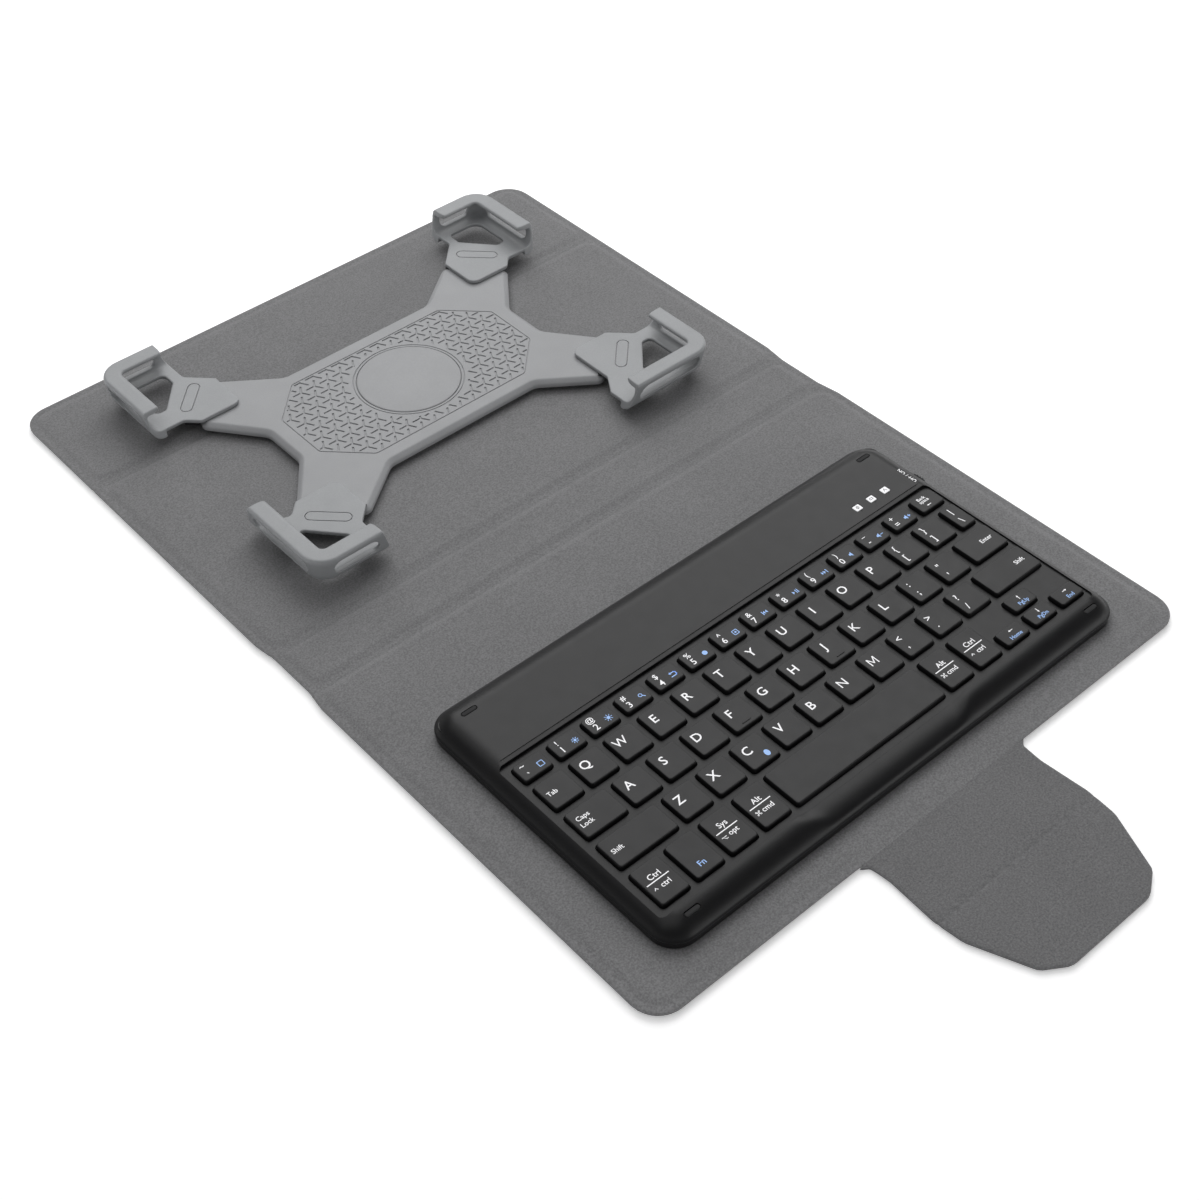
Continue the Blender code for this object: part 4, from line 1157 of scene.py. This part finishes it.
STROKES = {
    "dim": rays(SUN_RADIUS["dim"] + 0.28, SUN_RADIUS["dim"] + 0.5),
    "bright": rays(SUN_RADIUS["bright"] + 0.28, SUN_RADIUS["bright"] + 0.72),
    "magnifier": ((0.35, -0.3, 0.95, -0.95, 0.36),),
    "back": ((-0.6, 0.65, 0.55, 0.65, 0.3), (0.85, 0.35, 0.85, -0.35, 0.3), (0.55, -0.65, -1.0, -0.65, 0.3),
             (0.55, 0.65, 0.85, 0.35, 0.3), (0.85, -0.35, 0.55, -0.65, 0.3)),
    "previous": ((-1.05, -0.6, -1.05, 0.6, 0.26),),
    "next": ((1.05, -0.6, 1.05, 0.6, 0.26),),
    "play": ((0.4, -0.6, 0.4, 0.6, 0.26), (0.95, -0.6, 0.95, 0.6, 0.26)),
    "quieter": ((0.35, 0.0, 1.1, 0.0, 0.26),),
    "louder": ((0.35, 0.0, 1.1, 0.0, 0.26), (0.72, -0.38, 0.72, 0.38, 0.26)),
    "caret": ((-0.62, -0.35, 0.05, 0.38, 0.26), (-0.05, 0.38, 0.62, -0.35, 0.26)),
    "step": ((-1.0, 0.5, -0.4, 0.5, 0.24), (-0.45, 0.55, 0.35, -0.55, 0.24), (0.3, -0.5, 1.0, -0.5, 0.24),
             (0.2, 0.5, 1.0, 0.5, 0.24)),
}
for quarters, way in enumerate(("right", "up", "left", "down")):
    PATCHES[way] = (turned([(0.25, -0.48), (1.1, 0.0), (0.25, 0.48)], quarters),)
    tail, tip = turned([(-1.05, 0.0), (0.4, 0.0)], quarters)
    STROKES[way] = ((*tail, *tip, 0.3),)


def print_icon(shape, kind, cx, cy, z, look=BLUE, grow=1.0):
    """Function symbol centred on (cx, cy)."""
    def at(points):
        return [(cx + x * grow, cy + y * grow) for x, y in points]

    for outline in PATCHES.get(kind, ()):
        shape.prism(at(outline), *ink(z, look))
    for outer, inner in FRAMES.get(kind, ()):
        shape.tube(at(outer), at(inner), *ink(z, look))
    for x0, y0, x1, y1, width in STROKES.get(kind, ()):
        shape.bar(*at([(x0, y0), (x1, y1)]), width * grow, *ink(z, look))


NUMBER_KEYS = (("~", "`", "square"), ("!", "1", "dim"), ("@", "2", "bright"), ("#", "3", "magnifier"),
               ("$", "4", "back"), ("%", "5", "globe"), ("^", "6", "window"), ("&", "7", "previous"),
               ("*", "8", "play"), ("(", "9", "next"), (")", "0", "mute"), ("_", "-", "quieter"),
               ("+", "=", "louder"))
TOP_LETTERS = "QWERTYUIOP"
TOP_PAIRS = (("{", "["), ("}", "]"), ("|", "\\"))
HOME_LETTERS = "ASDFGHJKL"
HOME_PAIRS = ((":", ";"), ('"', "'"))
LOW_LETTERS = "ZXCVBNM"
LOW_PAIRS = (("<", ","), (">", "."), ("?", "/"))
SINGLE_WORDS = {
    "key_enter": ("Enter",), "key_shift_left": ("Shift",), "key_shift_right": ("Shift",),
    "key_ctrl_left": ("Ctrl", "ctrl"), "key_option_left": ("Sys", "opt"), "key_alt_left": ("Alt", "cmd"),
    "key_alt_right": ("Alt", "cmd"), "key_ctrl_right": ("Ctrl", "ctrl"),
}
LETTER_HEIGHT = 3.9
M_RIGHT = [(0.0, -1.45), (1.44, 1.2), (1.44, -LETTER_HEIGHT / 2.0), (1.9, -LETTER_HEIGHT / 2.0),
           (1.9, LETTER_HEIGHT / 2.0), (1.35, LETTER_HEIGHT / 2.0), (0.0, -0.55)]
ICON_SIZES = {"square": 1.12, "window": 1.12, "bright": 1.15, "globe": 0.95, "magnifier": 1.1}
MARKS = {"ctrl": "caret", "opt": "step", "cmd": "loops"}
ARROW_KEYS = {"key_home": ("left", "Home"), "key_page_up": ("up", "PgUp"),
              "key_page_down": ("down", "PgDn"), "key_end": ("right", "End")}


def add_cap(shape, rectangle, top):
    """Key cap with a flared skirt, rounded shoulders and a barely dished top."""
    x0, x1, y0, y1 = rectangle
    flare, base = 0.25, 8.9
    levels = ((-flare, 1.3, base), (-flare, 1.3, base + 1.3), (-0.06, 1.2, top - 0.55),
              (0.0, 1.15, top - 0.3), (0.07, 1.1, top - 0.13), (0.2, 1.0, top - 0.03), (0.42, 0.85, top),
              (0.9, 0.7, top - 0.01))
    shape.loft([raised(box_outline(x0 + i, x1 - i, y0 + i, y1 - i, radius, 5), z) for i, radius, z in levels])


def print_pair(shape, pair, rectangle, z):
    for text, drop in zip(pair, (3.6, 9.5)):
        print_text(shape, text, 3.1, rectangle[0] + 3.2, rectangle[3] - drop, z)


def print_letter(shape, letter, rectangle, z):
    x, y = rectangle[0] + 4.1, rectangle[3] - 4.9
    if letter == "M":  # the font's own M fills up when it is thickened
        outline = M_RIGHT + [(-px, py) for px, py in M_RIGHT[-2:0:-1]]
        shape.prism([(x + px, y + py) for px, py in outline], *ink(z))
    else:
        print_text(shape, letter, LETTER_HEIGHT, x, y, z)


def print_number_key(shape, legends, rectangle, z):
    upper, lower, icon = legends
    x, rear = rectangle[0] + 3.2, rectangle[3]
    print_text(shape, upper, 2.5, x, rear - 2.0, z)
    print_text(shape, lower, 2.9, x, rear - 5.7, z)
    print_icon(shape, icon, rectangle[0] + 9.5, rear - 5.2, z, BLUE, ICON_SIZES.get(icon, 1.4))


def print_single(shape, name, rectangle, z):
    x0, x1, _, rear = rectangle
    if name in ARROW_KEYS:
        icon, word = ARROW_KEYS[name]
        x = (x0 + x1) / 2.0 + 0.3
        print_icon(shape, icon, x, rear - 2.2, z, WHITE)
        print_text(shape, word, 1.75, x, rear - 5.3, z, BLUE)
    elif name == "key_fn":
        print_text(shape, "Fn", 2.4, x0 + 5.8, rear - 12.9, z, BLUE)
    elif name in SINGLE_WORDS:
        words = SINGLE_WORDS[name]
        if len(words) == 1:
            x = x0 + 4.4 if name == "key_shift_left" else x1 - 6.0
            print_text(shape, words[0], 2.0, x, rear - 6.4, z)
        else:
            x = x0 + 6.1
            print_text(shape, words[0], 2.35, x, rear - 5.9, z)
            shape.bar((x - 4.8, rear - 8.1), (x + 4.8, rear - 8.1), 0.42, *ink(z))
            print_text(shape, words[1], 2.2, x + 1.1, rear - 10.8, z)
            print_icon(shape, MARKS[words[1]], x - 3.4, rear - 10.9, z, WHITE)


def print_row(shape, node, rectangles, z):
    if node == "keys_number_row":
        for legends, rectangle in zip(NUMBER_KEYS, rectangles):
            print_number_key(shape, legends, rectangle, z)
        x0, _, _, rear = rectangles[-1]
        print_text(shape, "Back", 1.6, x0 + 5.4, rear - 1.7, z)
        print_text(shape, "space", 1.6, x0 + 5.4, rear - 3.9, z)
        print_icon(shape, "left", x0 + 5.4, rear - 6.3, z, WHITE)
    elif node == "keys_top_letter_row":
        print_text(shape, "Tab", 2.0, rectangles[0][0] + 3.7, rectangles[0][3] - 6.4, z)
        for letter, rectangle in zip(TOP_LETTERS, rectangles[1:]):
            print_letter(shape, letter, rectangle, z)
        for pair, rectangle in zip(TOP_PAIRS, rectangles[11:]):
            print_pair(shape, pair, rectangle, z)
    elif node == "keys_home_row":
        x0, _, _, rear = rectangles[0]
        print_text(shape, "Caps", 2.0, x0 + 4.7, rear - 4.9, z)
        print_text(shape, "Lock", 2.0, x0 + 4.4, rear - 7.8, z)
        for letter, rectangle in zip(HOME_LETTERS, rectangles[1:]):
            print_letter(shape, letter, rectangle, z)
            if letter in "FJ":
                x = (rectangle[0] + rectangle[1]) / 2.0
                shape.prism(stadium(x, rectangle[3] - 11.3, 4.0, 0.5, 4), z - 0.1, z + 0.22)
        for pair, rectangle in zip(HOME_PAIRS, rectangles[10:]):
            print_pair(shape, pair, rectangle, z)
    else:
        for letter, rectangle in zip(LOW_LETTERS, rectangles):
            print_letter(shape, letter, rectangle, z)
            if letter == "C":
                print_icon(shape, "oval", rectangle[0] + 9.4, rectangle[3] - 10.1, z)
        for pair, rectangle in zip(LOW_PAIRS, rectangles[7:]):
            print_pair(shape, pair, rectangle, z)


def build_keys(looks):
    """All key caps with their printing; returns the cap rectangles."""
    everything = []
    for body, members in frame["record"]["behaviour"]["bodies"].items():
        for node in members:
            if not node.startswith(("keys_", "key_")) or node == "key_dome_sheet":
                continue
            rectangles, top = cap_rectangles(node)
            everything += rectangles
            shape = Shape()
            for rectangle in rectangles:
                add_cap(shape, rectangle, top)
            if node.startswith("keys_"):
                print_row(shape, node, rectangles, top)
            else:
                print_single(shape, node, rectangles[0], top)
            obj = shape.build(node + "_caps", [looks["key"], looks["white"], looks["blue"]])
            place(obj, body, "key_cap", node)
    return everything


def build_labels(looks):
    """Printed words at the power switch."""
    shape = Shape()
    y = node_middle("power_switch").y + 1.5
    print_text(shape, "OFF / ON", 1.7, SHELL_HIGH.x - 7.4, y, 12.0, 0, math.radians(90.0))
    place(shape.build("switch_label", [looks["white"]]), "keyboard_side", "indicator_window")


# Tablet holder -----------------------------------------------------------------------------

def holder_outline():
    corners = []
    for sx, sy, step in ((1, 1, 1), (-1, 1, -1), (-1, -1, 1), (1, -1, -1)):
        corners += [(sx * x, sy * y, r) for x, y, r in ARM_CORNERS[::step]]
    return counter_clockwise([(x, y + HOLDER_Y) for x, y in fillet(corners, 10)])


def quadrant(points, sx, sy):
    """Holder coordinates (u, v) to the frame for one corner."""
    return counter_clockwise([(sx * u, HOLDER_Y + sy * v) for u, v in points])


def diagonal_strip(half_width, near, far):
    """Outline in (u, v) of a strip along the slide line through the arm's middle."""
    mid_u = (ARM_TIP_SUM + ARM_TIP_DIFFERENCE) / 2.0
    mid_v = (ARM_TIP_SUM - ARM_TIP_DIFFERENCE) / 2.0
    k = math.sqrt(0.5)
    corners = [(near, -half_width), (far, -half_width), (far, half_width), (near, half_width)]
    return [(mid_u + (a - b) * k, mid_v + (a + b) * k) for a, b in corners]


def in_pad(x, y, margin):
    """Whether a point lies on the patterned pad, outside the disc, at least margin from any border."""
    hx, hy = PAD_HALF
    if abs(x) > hx - margin or abs(y) > hy - margin:
        return False
    if abs(x) + abs(y) > hx + hy - PAD_CHAMFER - margin * math.sqrt(2.0):
        return False
    return math.hypot(x, y) > DISC_RADIUS + 2.6 + margin


def arm_reaches(x, y, angle):
    """Points along one arm of a star: (distance from its middle, whether the pad's pattern goes there)."""
    c, s = math.cos(angle), math.sin(angle)
    reaches = [STAR_ARM * k / STAR_STEPS for k in range(STAR_STEPS + 1)]
    return [(reach, in_pad(x + reach * c, y + reach * s, 1.0)) for reach in reaches]


def arm_length(x, y, angle):
    """How far one arm of a star runs before it leaves the patterned pad."""
    length = 0.0
    for reach, inside in arm_reaches(x, y, angle)[1:]:
        if not inside:
            break
        length = reach
    return length


def star_outline(x, y):
    """Three-armed groove; arms stop at the pad's border."""
    if not in_pad(x, y, 0.9):
        return None
    half = STAR_WIDTH / 2.0
    points = []
    for angle in STAR_ANGLES:
        along = Vector((math.cos(angle), math.sin(angle)))
        across = Vector((-along.y, along.x)) * half
        length = max(arm_length(x, y, angle), 1.2 * half)
        tip = Vector((x, y)) + along * length
        points += [tuple(tip - across), tuple(tip + across)]
        between, notch = angle + SIXTH_TURN, half / math.sin(SIXTH_TURN)
        points.append((x + notch * math.cos(between), y + notch * math.sin(between)))
    return points


def loose_arm(x, y, angle):
    """Part of an arm inside the pad when the star's middle lies outside it."""
    inside = [reach for reach, on_pad in arm_reaches(x, y, angle) if on_pad]
    return (inside[0], inside[-1]) if len(inside) >= LOOSE_STEPS else None


def add_stars(cutter, top):
    """Grid of three-armed grooves over the pad, whole stars and loose arms."""
    levels = (top - GROOVE_DEPTH, top + 1.0)
    for row in range(-12, 13):
        for column in range(-20, 21):
            x = STAR_START[0] + STAR_PITCH * column + (STAR_PITCH / 2.0 if row % 2 else 0.0)
            y = STAR_START[1] - STAR_PITCH * math.sin(SIXTH_TURN) * row
            outline = star_outline(x, y)
            if outline:
                cutter.prism([(px, py + HOLDER_Y) for px, py in outline], *levels)
                continue
            for angle in STAR_ANGLES:
                part = loose_arm(x, y, angle)
                if part:
                    c, s = math.cos(angle), math.sin(angle)
                    ends = [(x + reach * c, y + reach * s + HOLDER_Y) for reach in part]
                    cutter.bar(*ends, STAR_WIDTH * 0.99, *levels)


def pad_outline(grow):
    """Border of the patterned pad, moved outward by grow."""
    hx, hy = PAD_HALF[0] + grow, PAD_HALF[1] + grow
    c = PAD_CHAMFER + grow * (2.0 - math.sqrt(2.0))
    right = [(hx, -hy + c), (hx, hy - c), (hx - c, hy)]
    corners = right + [(-x, y) for x, y in reversed(right)] + [(-hx + c, -hy), (hx - c, -hy)]
    return counter_clockwise([(x, y + HOLDER_Y) for x, y in fillet([(x, y, 3.0) for x, y in corners], 6)])


def build_holder(looks):
    """X-shaped plate with its grooves and slide channels, and the round disc in its middle."""
    outer = holder_outline()
    top = PLATE_HIGH.z
    levels = ((0.35, PLATE_LOW.z), (0.0, PLATE_LOW.z + 0.35), (0.0, 6.9), (0.15, 7.25), (0.55, 7.65),
              (1.7, 8.62), (2.1, 8.86), (2.5, 8.97), (2.9, top))
    shape = Shape()
    shape.loft([raised(inset(outer, i), z) for i, z in levels])
    plate = shape.build("holder_plate_finished", [looks["holder"]])
    centre = (0.0, HOLDER_Y)
    grooves = [Shape() for _ in range(6)]
    add_stars(grooves[0], top)
    grooves[1].tube(pad_outline(0.25), pad_outline(-0.25), top - 0.3, top + 1.0)
    grooves[2].prism(ring_outline(DISC_RADIUS + 0.35, centre), top - 0.6, top + 1.0)
    grooves[3].tube(ring_outline(DISC_RADIUS + 1.75, centre), ring_outline(DISC_RADIUS + 1.3, centre),
                    top - 0.35, top + 1.0)
    for _, sx, sy in CORNERS:
        grooves[4].prism(quadrant(diagonal_strip(7.3, -27.0, 6.0), sx, sy), 0.0, 8.3)
        grooves[5].prism(quadrant(diagonal_strip(2.3, -50.0, -26.0), sx, sy), 0.0, 8.2)
    for groove in grooves:
        cut(plate, groove)
    shade(plate.data, 28.0)
    place(plate, "back_cover", "holder_plastic", "holder_plate")

    disc = Shape()
    profile = ((0.0, top - 0.4), (0.0, top + 0.02), (0.12, top + 0.16), (0.4, top + 0.25), (0.9, DISC_HIGH.z))
    disc.loft([raised(ring_outline(DISC_RADIUS - i, centre), z) for i, z in profile])
    place(disc.build("holder_badge_disc", [looks["holder"]]), "back_cover", "holder_plastic", "holder_disc")


# Grips -------------------------------------------------------------------------------------

def grip_outline(end_u, end_v):
    """Flat plate of a grip: pointed house toward the middle, a foot under each leg."""
    u, v = HOUSE_U, HOUSE_V
    side_u, side_v = u + HOUSE_WIDTH_U, v + HOUSE_WIDTH_V
    foot_u, foot_v = GRIP_OUTER_U - 1.0, GRIP_OUTER_V - 1.0
    corners = [(u, v, 4.0), (side_u, v, 1.5)]
    if end_v > v + 4.0:
        corners += [(side_u + (end_v - v), end_v, 3.0)]
    else:
        corners += [(side_u + 6.0, v + 6.0, 3.0), (GRIP_OUTER_U - 8.5, v + 4.0, 2.0),
                    (GRIP_OUTER_U - 8.5, end_v, 0.0)]
    corners += [(foot_u, end_v, 3.0), (foot_u, foot_v, GRIP_CORNER - 1.0), (end_u, foot_v, 3.0)]
    if end_u > u:
        corners += [(end_u, side_v + end_u - u, 3.0), (u, side_v, 1.5)]
    else:
        corners += [(end_u, side_v + 13.0, 2.0), (u, side_v + 4.0, 3.0)]
    return fillet(corners, 8)


def leg_path(end_u, end_v):
    """Stations (u, v, outward normal, distance to the free end) round the grip's corner."""
    cu, cv = GRIP_OUTER_U - GRIP_CORNER, GRIP_OUTER_V - GRIP_CORNER
    ends = (0.0, 0.25, 0.7, 1.3, 2.1, 3.0, END_REACH)
    stations = [(GRIP_OUTER_U, end_v + s, 1.0, 0.0, s) for s in ends]
    for k in range(17):
        a = math.radians(90.0 * k / 16)
        nu, nv = math.cos(a), math.sin(a)
        stations.append((cu + GRIP_CORNER * nu, cv + GRIP_CORNER * nv, nu, nv, 99.0))
    stations += [(end_u + s, GRIP_OUTER_V, 0.0, 1.0, s) for s in reversed(ends)]
    return stations


def wall_profile():
    """Section of the leg as (offset outward, height): round foot, leaning wall, in-curled lip."""
    low, top = GRIP_BOTTOM, LIP_TOP
    outer = [(-5.2, low), (-3.4, low + 0.1), (-2.0, low + 0.55), (-0.9, low + 1.4), (-0.1, low + 2.6),
             (0.5, low + 4.2), (1.0, 14.4), (1.5, top - 4.2), (1.85, top - 2.6), (1.9, top - 1.4),
             (1.7, top - 0.6), (1.2, top - 0.12), (0.5, top)]
    crown = [(0.0, top), (-5.0, top), (-5.9, top - 0.2), (-6.4, top - 0.75), (-6.4, top - 1.5),
             (-5.8, top - 2.0)]
    inner = [(-4.6, top - 2.1), (-1.3, top - 2.1), (-0.4, top - 2.6), (0.0, top - 3.7), (-0.1, top - 5.4),
             (-0.7, 13.4), (-1.5, 12.2), (-2.7, 11.3), (-4.4, 10.9), (-5.8, 10.6), (-5.8, low + 0.4)]
    return outer + crown + inner


def add_wall(shape, end_u, end_v, sx, sy):
    """Sweep the section round the corner; the free ends lean in toward the top and are rounded."""
    stations = leg_path(end_u, end_v)
    last = len(stations) - 1
    rings = []
    for index, (u, v, nu, nv, free) in enumerate(stations):
        ring = []
        near = min(free, END_REACH) / END_REACH
        shrink = 0.3 + 0.7 * math.sqrt(max(0.0, 1.0 - (1.0 - near) ** 2))
        for off, z in wall_profile():
            if z > 15.0 and off < 0.6:
                off = 0.6 + (off - 0.6) * shrink
            lean = END_LEAN * (z - GRIP_TOP) * (1.0 - near)
            du = lean if index > last / 2 else 0.0
            dv = lean if index < last / 2 else 0.0
            ring.append((sx * (u + off * nu + du), HOLDER_Y + sy * (v + off * nv + dv), z))
        rings.append(ring)
    shape.loft(rings)


def soften(obj, voxel, rounds):
    """Fuse overlapping bodies into one skin and round every edge a little."""
    remesh = obj.modifiers.new("fuse", 'REMESH')
    remesh.mode = 'VOXEL'
    remesh.voxel_size = voxel * MM
    relax = obj.modifiers.new("round", 'SMOOTH')
    relax.factor = 0.5
    relax.iterations = rounds
    apply_modifiers(obj)
    obj.data.shade_smooth()


def plug_outline(length, width, sx, sy):
    """Stadium that lies across the slide line on a grip's house."""
    k = math.sqrt(0.5)
    return quadrant([(PLUG_CENTRE[0] - px * k + py * k, PLUG_CENTRE[1] + px * k + py * k)
                     for px, py in stadium(0.0, 0.0, length, width, 10)], sx, sy)


def build_grip(looks, name, sx, sy):
    """One corner grip: plate and leg fused to one body, and the black rail it slides on; part of that black is
    painted shade under the grip plate.
    """
    end_u, end_v = GRIP_ENDS[name]
    plate = Shape()
    plate.prism(quadrant(grip_outline(end_u, end_v), sx, sy), GRIP_UNDER, GRIP_TOP)
    base = plate.build("grip_plate", [looks["grip"]])
    hole = Shape()
    hole.prism(quadrant(fillet(GRIP_WINDOW, 6), sx, sy), 5.0, 12.0)
    cut(base, hole)
    wall = Shape()
    add_wall(wall, end_u, end_v, sx, sy)
    leg = wall.build("grip_leg", [looks["grip"]])
    slots = Shape()
    for start, end, flip in ((end_v + 3.8, 75.5, False), (end_u + 3.8, 99.5, True)):
        slots_in_wall(slots, start, end, flip, sx, sy)
    cut(leg, slots)
    bm = bmesh.new()
    bm.from_mesh(base.data)
    bm.from_mesh(leg.data)
    bm.to_mesh(base.data)
    bm.free()
    bpy.data.objects.remove(leg, do_unlink=True)
    base.name = "grip_" + name + "_body"
    soften(base, 0.3, 2)
    seam = Shape()
    seam.tube(*[plug_outline(length, width, sx, sy) for length, width in PLUG_SIZES],
              GRIP_TOP - 0.5, GRIP_TOP + 1.0)
    cut(base, seam)
    shade(base.data, 60.0)
    base.data.materials.clear()
    base.data.materials.append(looks["grip"])
    place(base, "grip_" + name, "grip_plastic", "grip_" + name)

    rail = Shape()
    rail.prism(quadrant(diagonal_strip(7.0, -25.0, 2.0), sx, sy), 5.5, 8.0)
    # The block is wider than the real carriage, and a thin black sheet fills the gap under the grip plate: this
    # black is partly the carriage and partly painted shade under the plate's edges.
    block = fillet([(u, v, 1.2) for u, v in diagonal_strip(12.6, 1.0, 8.0)], 4)
    rail.prism(quadrant(block, sx, sy), 5.6, 9.25)
    rail.prism(quadrant(diagonal_strip(14.0, -2.9, 5.0), sx, sy), 9.05, 9.28)
    place(rail.build("grip_" + name + "_rail", [looks["rail"]]), "grip_" + name, "black_rubber")


def slots_in_wall(shape, start, end, flip, sx, sy):
    """Long rounded opening through a leaning wall, from start to end along it."""
    low, high = SLOT_HEIGHTS
    outline = stadium((start + end) / 2.0, (low + high) / 2.0, end - start, high - low, 8)
    rings = []
    for depth in (-4.0, 8.0):
        ring = []
        for along, z in outline:
            along += END_LEAN * (z - GRIP_TOP) * (1.0 if along < (start + end) / 2.0 else 0.0)
            u = along if flip else GRIP_OUTER_U + depth
            v = GRIP_OUTER_V + depth if flip else along
            ring.append((sx * u, HOLDER_Y + sy * v, z))
        rings.append(ring)
    shape.loft(rings)


# CAD nodes that stay visible, stage, camera --------------------------------------------------

def dress_cad_nodes(looks):
    """Give the hard inner parts and the plain shells their finishes."""
    finishes = {
        "keyboard_bottom_shell": "shell", "key_dome_sheet": "sheet",
        "battery": "foil", "control_board": "circuit", "holder_base": "holder",
        "flap_tip_magnet": "steel", "stand_strip_steel_plate": "steel",
    }
    for name, obj in frame["nodes"].items():
        finish = finishes.get(name)
        if name.endswith("_board") and finish is None:
            finish = "board"
        if name.startswith("spring_"):
            finish = "wire"
        if finish is None or obj.hide_render:
            continue
        for slot in obj.material_slots:
            slot.material = looks[finish]
        if finish in ("shell", "holder"):
            edge = obj.modifiers.new("edge", 'BEVEL')
            edge.width = 0.25 * MM
            edge.segments = 3
            edge.limit_method = 'ANGLE'
            edge.angle_limit = math.radians(35.0)


def build_stage():
    look = Look("pale_floor", 0.9)
    look.set("Base Color", ramp(look.tree, look.noise(40.0), display(250), display(254)))
    look.set("Specular IOR Level", 0.1)
    look.set("Emission Color", (1.0, 1.0, 1.0, 1.0)).set("Emission Strength", 0.34)
    mesh = bpy.data.meshes.new("floor")
    corners = ((-1, -1), (1, -1), (1, 1), (-1, 1))
    mesh.from_pydata([(x * FLOOR_HALF, y * FLOOR_HALF, FLOOR_Z) for x, y in corners], [], [(0, 1, 2, 3)])
    mesh.materials.append(look.material)
    add_object("floor", mesh)


def add_area(name, location, size, power):
    light = bpy.data.lights.new(name, 'AREA')
    light.shape = 'RECTANGLE'
    light.size, light.size_y = size
    light.energy = power
    obj = add_object(name, light)
    obj.location = location
    obj.rotation_mode = 'QUATERNION'
    obj.rotation_quaternion = (Vector(LIGHT_TARGET) - Vector(location)).to_track_quat('-Z', 'Y')


def build_world():
    """Studio surround: bright near the horizon, dim overhead."""
    world = bpy.data.worlds.new("studio")
    world.use_nodes = True
    tree = world.node_tree
    split = add_node(tree, "SeparateXYZ", Vector=add_node(tree, "TexCoord").outputs["Generated"])
    sky = ramp(tree, split.outputs["Z"], (1.0, 1.0, 1.0, 1.0), (0.16, 0.16, 0.165, 1.0), 0.02, 0.55)
    feed(tree, tree.nodes["Background"].inputs["Color"], sky)
    feed(tree, tree.nodes["Background"].inputs["Strength"], WORLD_LEVEL)
    bpy.context.scene.world = world


def build_light():
    build_world()
    bpy.context.scene.view_settings.view_transform = 'Standard'
    for light in LIGHTS:
        add_area(*light)


def build_camera():
    data = bpy.data.cameras.new("camera")
    data.lens = CAMERA_LENS
    data.sensor_width = 36.0
    data.clip_start = 0.01
    data.shift_x, data.shift_y = CAMERA_SHIFT
    camera = add_object("camera", data)
    camera.location = CAMERA_PLACE
    camera.rotation_mode = 'QUATERNION'
    aim = (CAMERA_TARGET - CAMERA_PLACE).to_track_quat('-Z', 'Y')
    camera.rotation_quaternion = aim @ Quaternion((0.0, 0.0, 1.0), CAMERA_ROLL)
    bpy.context.scene.camera = camera


def main():
    looks = build_materials()
    build_cover(looks)
    rectangles = build_keys(looks)
    build_top_shell(looks, rectangles)
    build_bumpers(looks)
    build_windows(looks)
    build_switch(looks)
    build_socket(looks)
    build_labels(looks)
    build_holder(looks)
    for name, sx, sy in CORNERS:
        build_grip(looks, name, sx, sy)
    dress_cad_nodes(looks)
    build_stage()
    build_light()
    build_camera()


main()
